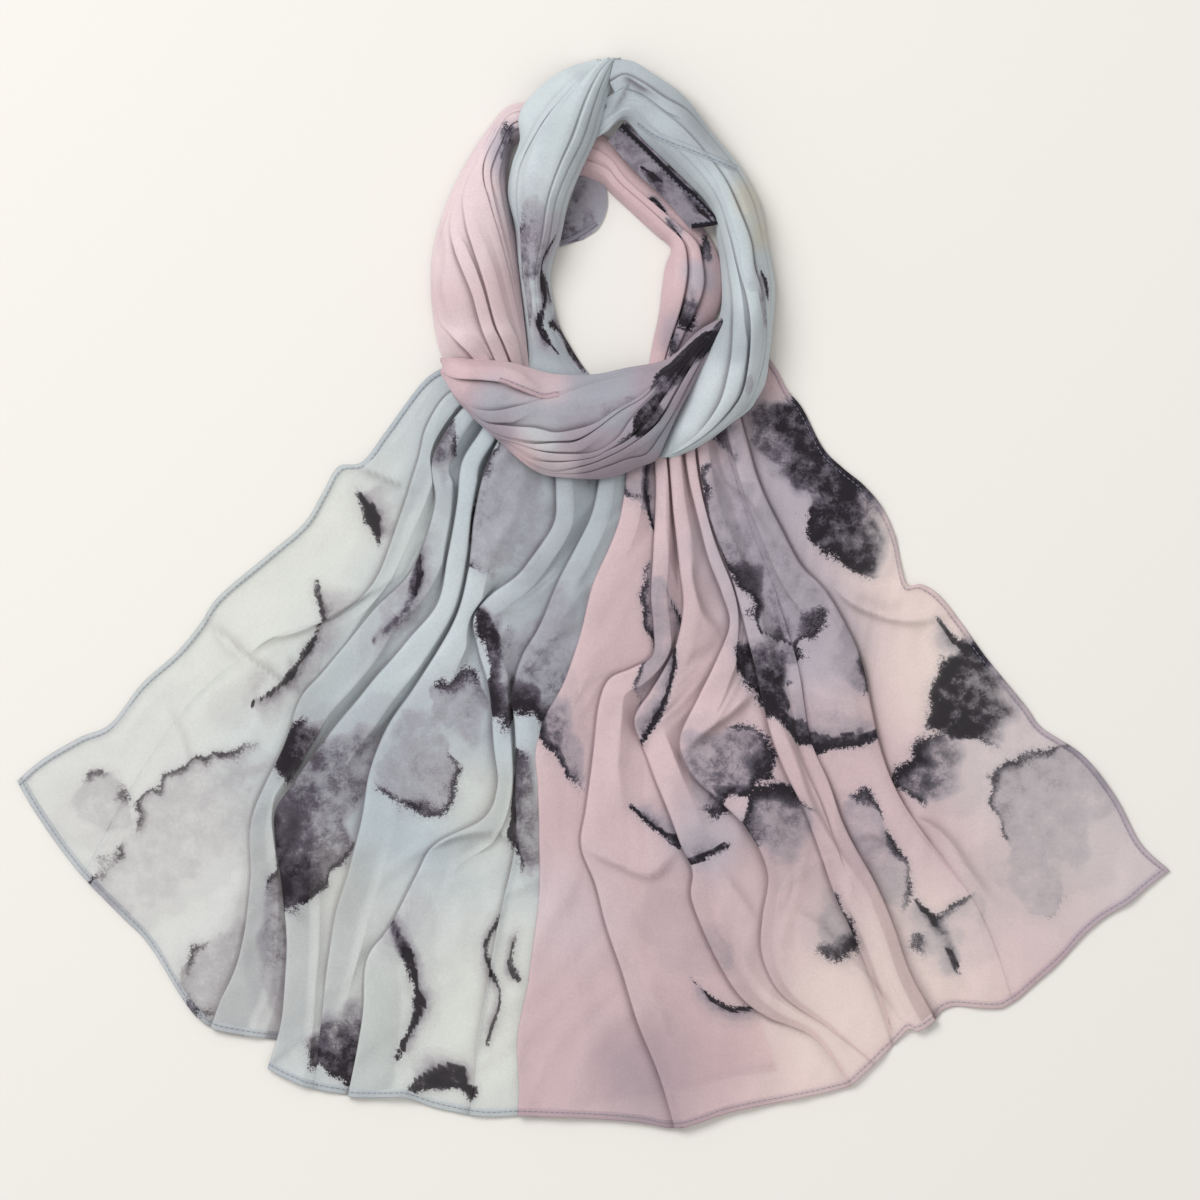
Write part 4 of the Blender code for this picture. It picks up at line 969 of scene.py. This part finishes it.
def nearest_on(line, x, y):
    """Distance to a smooth line, the side it lies on (1 left, -1 right), and the share of the line there."""
    best = np.full(x.shape, FAR)
    side = np.ones(x.shape)
    share = np.zeros(x.shape)
    curve = smooth_curve(line, 5)
    for k, ((ax, ay), (bx, by)) in enumerate(zip(curve, curve[1:])):
        dx, dy = bx - ax, by - ay
        t = np.clip(((x - ax) * dx + (y - ay) * dy) / (dx * dx + dy * dy + 1e-9), 0.0, 1.0)
        distance = np.hypot(x - ax - t * dx, y - ay - t * dy)
        closer = distance < best
        best = np.where(closer, distance, best)
        side = np.where(closer, np.where(dx * (y - ay) - dy * (x - ax) > 0.0, 1.0, -1.0), side)
        share = np.where(closer, (k + t) / (len(curve) - 1), share)
    return best, side, share


def linear(colour):
    """A table's colour as Blender's linear one."""
    return np.array([((c / 255 + 0.055) / 1.055) ** 2.4 for c in colour])


def washed(name, grid):
    """Ground colour and cover at each point."""
    x, y = grid[..., 0], grid[..., 1]
    moved_x = x + WASH_STRAY * soft_noise(x / WASH_WAVE, y / WASH_WAVE, 1)
    moved_y = y + WASH_STRAY * soft_noise(x / WASH_WAVE, y / WASH_WAVE, 2)
    base = WASHES[name][0]
    weight = np.full(x.shape, GROUND_WEIGHT)
    colour = weight[..., None] * linear(COLOURS[base.colour])
    cover = weight * base.cover
    for wash in WASHES[name][1:]:
        share = np.exp(-((moved_x - wash.x) ** 2 + (moved_y - wash.y) ** 2) / wash.reach ** 2)
        colour += share[..., None] * linear(COLOURS[wash.colour])
        cover += share * wash.cover
        weight += share
    return colour / weight[..., None], cover / weight


def cloth_view(grid, shift, x, y):
    """Places on the cloth as if it had no folds, laid out from what shows at one point."""
    near = np.hypot(grid[..., 0] - x, grid[..., 1] - y) - grid[..., 2] * 0.5
    thread = np.unravel_index(near.argmin(), near.shape)[1]
    moved = grid[..., :2] + shift - shift[:, thread:thread + 1]
    return moved[..., 0], moved[..., 1]


def stroke_ink(stroke, grid, shift):
    """Depth inside a stroke's ink, the width of its dark rim, and how dark its wash is."""
    x, y = cloth_view(grid, shift, *stroke.line[len(stroke.line) // 2])
    distance, side, share = nearest_on(stroke.line, x, y)
    uneven = 1.0 + 0.7 * soft_noise(x / STROKE_WAVE, y / STROKE_WAVE, 3)
    width = np.interp(share, (0.0, 0.5, 1.0), stroke.widths) * uneven
    ends = ease(share / STROKE_END) * ease((1.0 - share) / STROKE_END)
    reach = np.where(side == stroke.side, stroke.reach, 0.0)
    wash = 0.7 * np.exp(-np.maximum(0.0, distance - width) / np.maximum(2.0, 0.6 * reach)) * ends
    inside = np.minimum(width - distance + reach * ends, width + 0.5 * reach)
    solid = ease((width - distance + 1.0) / 3.0)
    return inside, np.where(solid > 0.5, SOLID_RIM, NO_RIM), np.maximum(wash, solid)


def island_ink(island, seed, grid, shift):
    """The same for an island: its outline is an ellipse with lobes, and its rim fades from rim_to."""
    x, y = cloth_view(grid, shift, island.x, island.y)
    x = x - island.x + ISLAND_STRAY * island.wide * soft_noise(x / ISLAND_WAVE, y / ISLAND_WAVE, seed)
    y = y - island.y + ISLAND_STRAY * island.tall * soft_noise(x / ISLAND_WAVE, y / ISLAND_WAVE, seed + 5)
    turned = math.radians(island.turned)
    u = (x * math.cos(turned) + y * math.sin(turned)) / island.wide
    v = (y * math.cos(turned) - x * math.sin(turned)) / island.tall
    reach = np.hypot(u, v)
    lobes = 1.0 + LOBES * soft_noise(u / np.maximum(0.3, reach), v / np.maximum(0.3, reach), seed + 9)
    inside = (lobes - reach) * math.sqrt(island.wide * island.tall) * 0.8
    towards = math.radians(island.rim_to)
    ahead = x * math.cos(towards) + y * math.sin(towards)
    facing = ahead / np.maximum(1.0, np.hypot(x, y))
    rim = island.rim * np.clip(facing * 0.8 + 0.25, 0.0, 1.0)
    rim = rim * (1.0 + 0.6 * soft_noise(x / RIM_WAVE, y / RIM_WAVE, seed))
    slope = ahead / math.hypot(island.wide, island.tall)
    soft = 1.0 + ISLAND_FADE * np.clip(0.35 - facing, 0.0, 1.0)
    wash = island.fill * np.clip(0.78 + 0.45 * slope, 0.3, 1.1) * ease(inside / soft)
    return inside, np.maximum(NO_RIM, rim), wash


def inked(name, grid):
    """At each point: mm inside the ink's edge, how wide its dark rim is, and how dark its wash is."""
    shift = hidden_shift(grid)
    depth = np.full(grid.shape[:2], NO_INK)
    rim = np.full(grid.shape[:2], NO_RIM)
    wash = np.zeros(grid.shape[:2])
    layers = [island_ink(island, k, grid, shift) for k, island in enumerate(ISLANDS.get(name, ()))]
    layers += [stroke_ink(stroke, grid, shift) for stroke in STROKES.get(name, ())]
    for inside, width, fill in layers:
        wins = inside > depth
        depth = np.where(wins, inside, depth)
        rim = np.where(wins, width, rim)
        wash = np.maximum(wash, fill)
    return depth, rim, wash


def looks_of(node, grid):
    """Colour, cover, print and painted shade at each point of a sheet."""
    colour, cover = washed(node, grid)
    depth, rim, wash = inked(node, grid)
    # The tuck look carries the painted shade of folds, creases and turned-under cloth.
    return {"ground": colour, "cover": cover, "ink": depth, "rim": rim, "wash": wash, "tuck": grid[..., 3]}


def relief(name, grid):
    """Raises ridges and lowers troughs, in all layers alike, paints shade along creases, and adds the cloth's
    small wrinkles.
    """
    across, along = arc_across(grid), arc_along(grid)
    x, y, z = grid[..., 0], grid[..., 1], grid[..., 2]
    up = np.zeros_like(x)
    down = np.zeros_like(x)
    for crease in CREASES.get(name, ()):
        distance, side, share = nearest_on(crease.line, x, y)
        on_sharp = side == crease.sharp
        ends = 0.25 + 0.75 * ease(share / 0.25) * ease((1.0 - share) / 0.25)
        strength = np.exp(-(distance / np.where(on_sharp, CREASE_EDGE, crease.width)) ** 1.25) * ends
        if crease.height > 0:
            up = np.maximum(up, strength * crease.height)
        else:
            down = np.maximum(down, -strength * crease.height)
        # Painted shade along the crease, wider on its sharp side: it darkens the cloth's colour, not the
        # light.
        reach = np.where(on_sharp, CREASE_REACH, CREASE_FAR_REACH) if crease.sharp else crease.width
        shade = crease.shade * np.exp(-(distance / reach) ** 1.5) * ends
        grid[..., 3] = np.maximum(grid[..., 3], shade)
    falls = name in FALLS
    size = 1.0 if falls else STRAND_WRINKLES
    wrinkle = sum(
        soft_noise(across / wave.across, along / wave.along, wave.seed) * wave.height for wave in WRINKLES)
    up += size * np.maximum(0.0, wrinkle)
    ridge = 0.0
    for wave in RIDGES:
        slanted = soft_noise(across / wave.across + along / wave.slant, along / wave.along, wave.seed)
        ridge = ridge + wave.height * (1.0 - np.abs(slanted))
    up += size * RIDGE_HEIGHT * np.maximum(0.0, ridge)
    if falls:
        z = np.where(z > LEAST_Z, LEAST_Z + (z - LEAST_Z) * np.exp(-down / TROUGH_DEPTH), z)
    grid[..., 2] = z + up


# ---------------------------------------------------------------- materials

class Nodes:
    """Short calls for one material's nodes."""

    def __init__(self, name):
        self.material = bpy.data.materials.new(name)
        self.material.use_nodes = True
        self.tree = self.material.node_tree
        self.shader = self.tree.nodes["Principled BSDF"]
        self.output = self.tree.nodes["Material Output"]

    def feed(self, socket, value):
        """Links a socket to another node's, or sets its own number or colour."""
        if isinstance(value, bpy.types.NodeSocket):
            self.tree.links.new(value, socket)
        else:
            socket.default_value = value

    def add(self, kind, inputs=(), **settings):
        node = self.tree.nodes.new(kind)
        for key, value in settings.items():
            setattr(node, key, value)
        for key, value in dict(inputs).items():
            self.feed(node.inputs[key], value)
        return node

    def attribute(self, name, output="Fac"):
        return self.add("ShaderNodeAttribute", attribute_name=name).outputs[output]

    def noise(self, vector, name):
        noise = NOISES[name]
        return self.add("ShaderNodeTexNoise", {
            "Vector": vector, "Scale": noise.scale, "Detail": noise.detail, "Roughness": noise.roughness,
        }).outputs["Fac"]

    def math(self, operation, a, b=0.0, c=0.0):
        return self.add("ShaderNodeMath", {0: a, 1: b, 2: c}, operation=operation).outputs[0]

    def ramp(self, value, low, high, to_low=0.0, to_high=1.0):
        return self.add("ShaderNodeMapRange", {
            "Value": value, "From Min": low, "From Max": high, "To Min": to_low, "To Max": to_high,
        }, interpolation_type="SMOOTHSTEP").outputs["Result"]

    def mix_colour(self, share, a, b, blend="MIX"):
        node = self.add("ShaderNodeMix", {"Factor": share}, data_type="RGBA", blend_type=blend)
        self.feed(node.inputs[6], a)
        self.feed(node.inputs[7], b)
        return node.outputs[2]

    def tinted(self, colour, tint):
        return self.mix_colour(1.0, colour, (*tint, 1.0), "MULTIPLY")


def rgba(name):
    return (*linear(COLOURS[name]), 1.0)


def stitched(n, colour):
    """A hem's colour: three layers of the cloth, a darker edge, one line of stitches, and painted shade in
    the groove beside them and the holes between them.
    """
    apart = n.add("ShaderNodeSeparateXYZ", {"Vector": n.attribute("hem_place", "Vector")}).outputs
    dense = n.tinted(colour, HEM_TINT)
    dark = n.tinted(colour, HEM_EDGE_AND_STITCH_SHADE_TINT)
    along = n.math("FRACT", n.math("DIVIDE", apart["Y"], STITCH_PITCH))
    in_stitch = n.math("LESS_THAN", along, STITCH_SHARE)
    off_line = n.math("ABSOLUTE", n.math("SUBTRACT", apart["X"], STITCH_PLACE))
    on_line = n.math("LESS_THAN", off_line, STITCH_WIDTH)
    edge = n.ramp(apart["X"], 0.1, 0.6, 0.4, 0.0)
    # Painted shade in a groove beside the stitch line.
    painted_groove_shade = n.ramp(n.math("ABSOLUTE", n.math("SUBTRACT", off_line, 0.8)), 0.0, 0.5, 0.16, 0.0)
    colour = n.mix_colour(n.math("MAXIMUM", edge, painted_groove_shade), dense, dark)
    # Painted shade in the holes between the stitches.
    gap = n.math("MULTIPLY", on_line, n.math("SUBTRACT", 1.0, in_stitch))
    colour = n.mix_colour(n.math("MULTIPLY", gap, 0.35), colour, dark)
    thread = n.math("MULTIPLY", on_line, n.math("MULTIPLY", in_stitch, 0.8))
    return n.mix_colour(thread, colour, rgba("thread"))


def ink_darkness(n, place, broad):
    """How dark the ink is: ragged at its edge, with a faint halo, a dark rim and a mottled wash."""
    ragged, speck, patchy = (n.noise(place, name) for name in ("ragged", "speck", "patchy"))
    depth = n.attribute("ink")
    for noise, stray in ((ragged, RAGGED_STRAY), (speck, SPECK_STRAY)):
        depth = n.math("MULTIPLY_ADD", noise, stray, n.math("ADD", depth, -stray / 2))
    body = n.ramp(depth, -0.6, 1.6)
    halo = n.ramp(depth, -HALO_REACH, 0.0, 0.0, HALO)
    rim = n.ramp(n.math("DIVIDE", n.math("MAXIMUM", depth, 0.0), n.attribute("rim")), 0.2, 2.4, 1.0, 0.0)
    rim = n.math("MULTIPLY", rim, n.ramp(n.attribute("rim"), 0.6, 3.0))
    mottle = n.math("MULTIPLY_ADD", patchy, 0.9, n.math("MULTIPLY", ragged, 0.6))
    mottle = n.ramp(n.math("MULTIPLY_ADD", speck, 0.5, mottle), 0.6, 1.35, 0.5, 1.2)
    mottle = n.math("MULTIPLY", mottle, n.ramp(broad, 0.34, 0.62, 0.72, 1.06))
    wash = n.math("MULTIPLY", n.attribute("wash"), mottle)
    rim = n.math("MULTIPLY", rim, n.ramp(mottle, 0.3, 0.8, 0.55, 1.0))
    return n.math("MAXIMUM", n.math("MULTIPLY", body, n.math("MAXIMUM", wash, rim)), halo)


def cloth_colour(n, place, dark, broad):
    """The wash ground, the ink on it, the cloth's grain, and the painted shade in its folds and creases."""
    ground = n.attribute("ground", "Color")
    ground = n.mix_colour(n.ramp(broad, 0.35, 0.75, 0.0, 0.3), ground, n.tinted(ground, SHADED_TINT))
    colour = n.mix_colour(n.ramp(dark, 0.0, 0.34), ground, n.mix_colour(0.3, rgba("wash"), ground))
    colour = n.mix_colour(n.ramp(dark, 0.3, 0.68), colour, rgba("smoke"))
    colour = n.mix_colour(n.ramp(dark, 0.6, 1.0), colour, rgba("charcoal"))
    grain = n.ramp(n.noise(place, "grain"), 0.3, 0.7, 0.0, 0.25)
    colour = n.mix_colour(grain, colour, n.tinted(colour, GRAIN_TINT))
    # Painted shade: the tuck look darkens the colour in folds and creases.
    return n.mix_colour(n.attribute("tuck"), colour, n.tinted(colour, PAINTED_SHADE_TINT))


def chiffon(name, hem=False):
    """Fine crepe chiffon: partly see-through, matt, with a wash ground and ragged ink."""
    n = Nodes(name)
    coords = n.add("ShaderNodeTexCoord").outputs["Object"]
    to_mm = {0: coords, 1: (1 / MM, 1 / MM, 1 / MM)}
    place = n.add("ShaderNodeVectorMath", to_mm, operation="MULTIPLY").outputs[0]
    broad = n.noise(place, "broad")
    dark = ink_darkness(n, place, broad)
    colour = cloth_colour(n, place, dark, broad)
    if hem:
        colour = stitched(n, colour)
    weave = {"Strength": WEAVE_STRENGTH, "Distance": WEAVE_HEIGHT, "Height": n.noise(place, "weave")}
    bump = n.add("ShaderNodeBump", weave).outputs["Normal"]
    for socket, value in CHIFFON_SHADER.items():
        n.shader.inputs[socket].default_value = value
    n.feed(n.shader.inputs["Base Color"], colour)
    n.feed(n.shader.inputs["Normal"], bump)
    glow = n.add("ShaderNodeBsdfTranslucent", {"Color": colour, "Normal": bump})
    cloth = n.add("ShaderNodeMixShader", {0: GLOW_SHARE, 1: n.shader.outputs[0], 2: glow.outputs[0]})
    clear = n.add("ShaderNodeBsdfTransparent")
    cover = n.math("MAXIMUM", n.attribute("cover"), HEM_COVER if hem else 0.0)
    thick_ink = n.math("MULTIPLY", n.ramp(dark, 0.55, 0.95), INK_COVER)
    cover = n.math("MULTIPLY_ADD", thick_ink, n.math("SUBTRACT", 1.0, cover), cover)
    both = n.add("ShaderNodeMixShader", {0: cover, 1: clear.outputs[0], 2: cloth.outputs[0]})
    n.feed(n.output.inputs["Surface"], both.outputs[0])
    return n.material


def plain(name, colour):
    n = Nodes(name)
    n.shader.inputs["Base Color"].default_value = colour
    n.shader.inputs["Roughness"].default_value = 0.85
    return n.material


# ---------------------------------------------------------------- pieces

def placed(name, data):
    """A new object in the scene."""
    item = bpy.data.objects.new(name, data)
    bpy.context.scene.collection.objects.link(item)
    return item


def grid_faces(grid, first=0):
    """The four-sided faces between a grid's points, numbered from first."""
    stations, across = grid.shape[:2]
    index = np.arange(stations * across).reshape(stations, across) + first
    faces = np.stack([index[:-1, :-1], index[1:, :-1], index[1:, 1:], index[:-1, 1:]], axis=-1)
    return faces.reshape(-1, 4)


def set_looks(mesh, looks):
    """Gives a mesh its colour, cover, print and painted shade, or its hem places, as values at each point."""
    for key, values in looks.items():
        kind, field = LOOK_KINDS.get(key, ("FLOAT", "value"))
        if key == "ground":
            flat = values.reshape(-1, 3)
            values = np.column_stack([flat, np.ones(len(flat))])
        mesh.attributes.new(key, kind, "POINT").data.foreach_set(field, np.ascontiguousarray(values).ravel())


def add_mesh(name, points, faces, material, looks):
    """A smooth mesh that rides on the scarf's one body. Points are in millimetres."""
    mesh = bpy.data.meshes.new(name)
    mesh.from_pydata((points.reshape(-1, 3) * MM).tolist(), [], faces.tolist())
    mesh.polygons.foreach_set("use_smooth", [True] * len(mesh.polygons))
    mesh.materials.append(material)
    set_looks(mesh, looks)
    piece = placed(name, mesh)
    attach(piece, "root")
    return piece


def add_cloth(node, grid, looks):
    """One stretch's sheet of cloth."""
    piece = add_mesh(node + "_cloth", grid[..., :3], grid_faces(grid), chiffon(node + "_chiffon"), looks)
    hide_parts(node)
    return piece


def add_hem(node, strips):
    """One piece of a stretch's hems: each strip is its points and its looks."""
    points, faces = [], []
    for strip, _ in strips:
        faces.append(grid_faces(strip, sum(len(p) for p in points)))
        points.append(strip.reshape(-1, 3))
    looks = {key: np.concatenate([look[key] for _, look in strips]) for key in strips[0][1]}
    name = node + "_hem"
    piece = add_mesh(name, np.vstack(points), np.vstack(faces), chiffon(name + "_stitched", hem=True), looks)
    return piece


def hem_places(offsets, walk):
    """Each point's place on a hem: how far it is from the edge, and how far along."""
    return np.stack(np.broadcast_arrays(offsets[None], walk[:, None], 0.0), axis=-1).reshape(-1, 3)


def border_strip(grid, looks, border, width):
    """A rolled hem on one border of a grid, with the looks that the cloth has there."""
    at, inner = BORDERS[border]
    edge, inside = grid[at][..., :3], grid[inner][..., :3]
    inward = unit(inside - edge)
    columns = []
    for row in HEM_SECTION:
        column = edge + inward * (row.offset + row.share * width)
        column[:, 2] = edge[:, 2] + row.lift
        columns.append(column)
    walk = np.concatenate([[0.0], np.cumsum(np.linalg.norm(np.diff(edge, axis=0), axis=1))])
    look = {"hem_place": hem_places(np.array([row.place for row in HEM_SECTION]) * width, walk)}
    for key, values in looks.items():
        look[key] = np.repeat(values[at], len(HEM_SECTION), axis=0)
    return np.stack(columns, axis=1), look


def seam_strip(line, width, colour, tree):
    """A hem's strip laid on the cloth below it, with its outer edge on the line's left."""
    count = max(8, int(Line(line, 8).length / SEAM_STEP))
    middle = Line(line, count)
    offsets = np.array([offset for offset, _ in SEAM_SECTION]) * width
    strip = np.zeros((count, len(offsets), 3))
    for i in range(count):
        for j, (_, lift) in enumerate(SEAM_SECTION):
            x, y = middle.place[i] + middle.right[i] * offsets[j]
            hit = tree.ray_cast(Vector((x, y, 100.0)), Vector((0, 0, -1)))[0]
            height = hit.z if hit else (strip[i, j - 1, 2] if j else strip[i - 1, j, 2])
            strip[i, j] = (x, y, height + lift)
    size = strip.shape[0] * strip.shape[1]
    look = {
        "hem_place": hem_places(offsets, middle.share * middle.length),
        "ground": np.tile(linear(COLOURS[colour]), (size, 1)), "cover": np.ones(size),
        "ink": np.full(size, NO_INK), "rim": np.full(size, NO_RIM),
        "wash": np.zeros(size), "tuck": np.zeros(size),
    }
    return strip, look


grids = {node: fall_grid(fall) for node, fall in FALLS.items()}
grids.update((node, strand_grid(strand)) for node, strand in STRANDS.items())
grids.update((node, leaf_grid(rows)) for node, rows in LEAVES.items())

cloths, looks = {}, {}
for node, grid in grids.items():
    relief(node, grid)
    looks[node] = looks_of(node, grid)
    cloths[node] = add_cloth(node, grid, looks[node])

for node, fall in FALLS.items():
    strips = [border_strip(grids[node], looks[node], border, width) for border, width in fall.borders]
    add_hem(node, strips)
for node, seam in SEAMS.items():
    points = grids[node][..., :3].reshape(-1, 3).tolist()
    tree = BVHTree.FromPolygons(points, grid_faces(grids[node]).tolist())
    add_hem(node, [seam_strip(line, seam.width, seam.colour, tree) for line in seam.lines])

# ---------------------------------------------------------------- floor, light and camera

floor_mesh = bpy.data.meshes.new("floor")
floor_mesh.from_pydata(
    [(-FLOOR, -FLOOR, 0), (FLOOR, -FLOOR, 0), (FLOOR, FLOOR, 0), (-FLOOR, FLOOR, 0)], [], [(0, 1, 2, 3)])
floor_mesh.materials.append(plain("floor", FLOOR_COLOUR))
floor = placed("floor", floor_mesh)

world = bpy.data.worlds.new("studio")
bpy.context.scene.world = world
world.use_nodes = True
background = world.node_tree.nodes["Background"]
background.inputs["Color"].default_value = SKY_COLOUR
background.inputs["Strength"].default_value = SKY_STRENGTH

key_data = bpy.data.lights.new("key", "AREA")
key_data.size = KEY_SIZE
key_data.energy = KEY_ENERGY
key = placed("key", key_data)
key.location = KEY_PLACE
key.rotation_euler = (-key.location).to_track_quat("-Z", "Y").to_euler()

camera_data = bpy.data.cameras.new("camera")
camera_data.sensor_width = SENSOR
camera_data.lens = SENSOR * CAMERA_HEIGHT / VIEW_WIDTH
camera_data.clip_end = 50
camera = placed("camera", camera_data)
camera.location = (*VIEW_MIDDLE, CAMERA_HEIGHT)
bpy.context.scene.camera = camera
bpy.context.scene.view_settings.view_transform = "Standard"
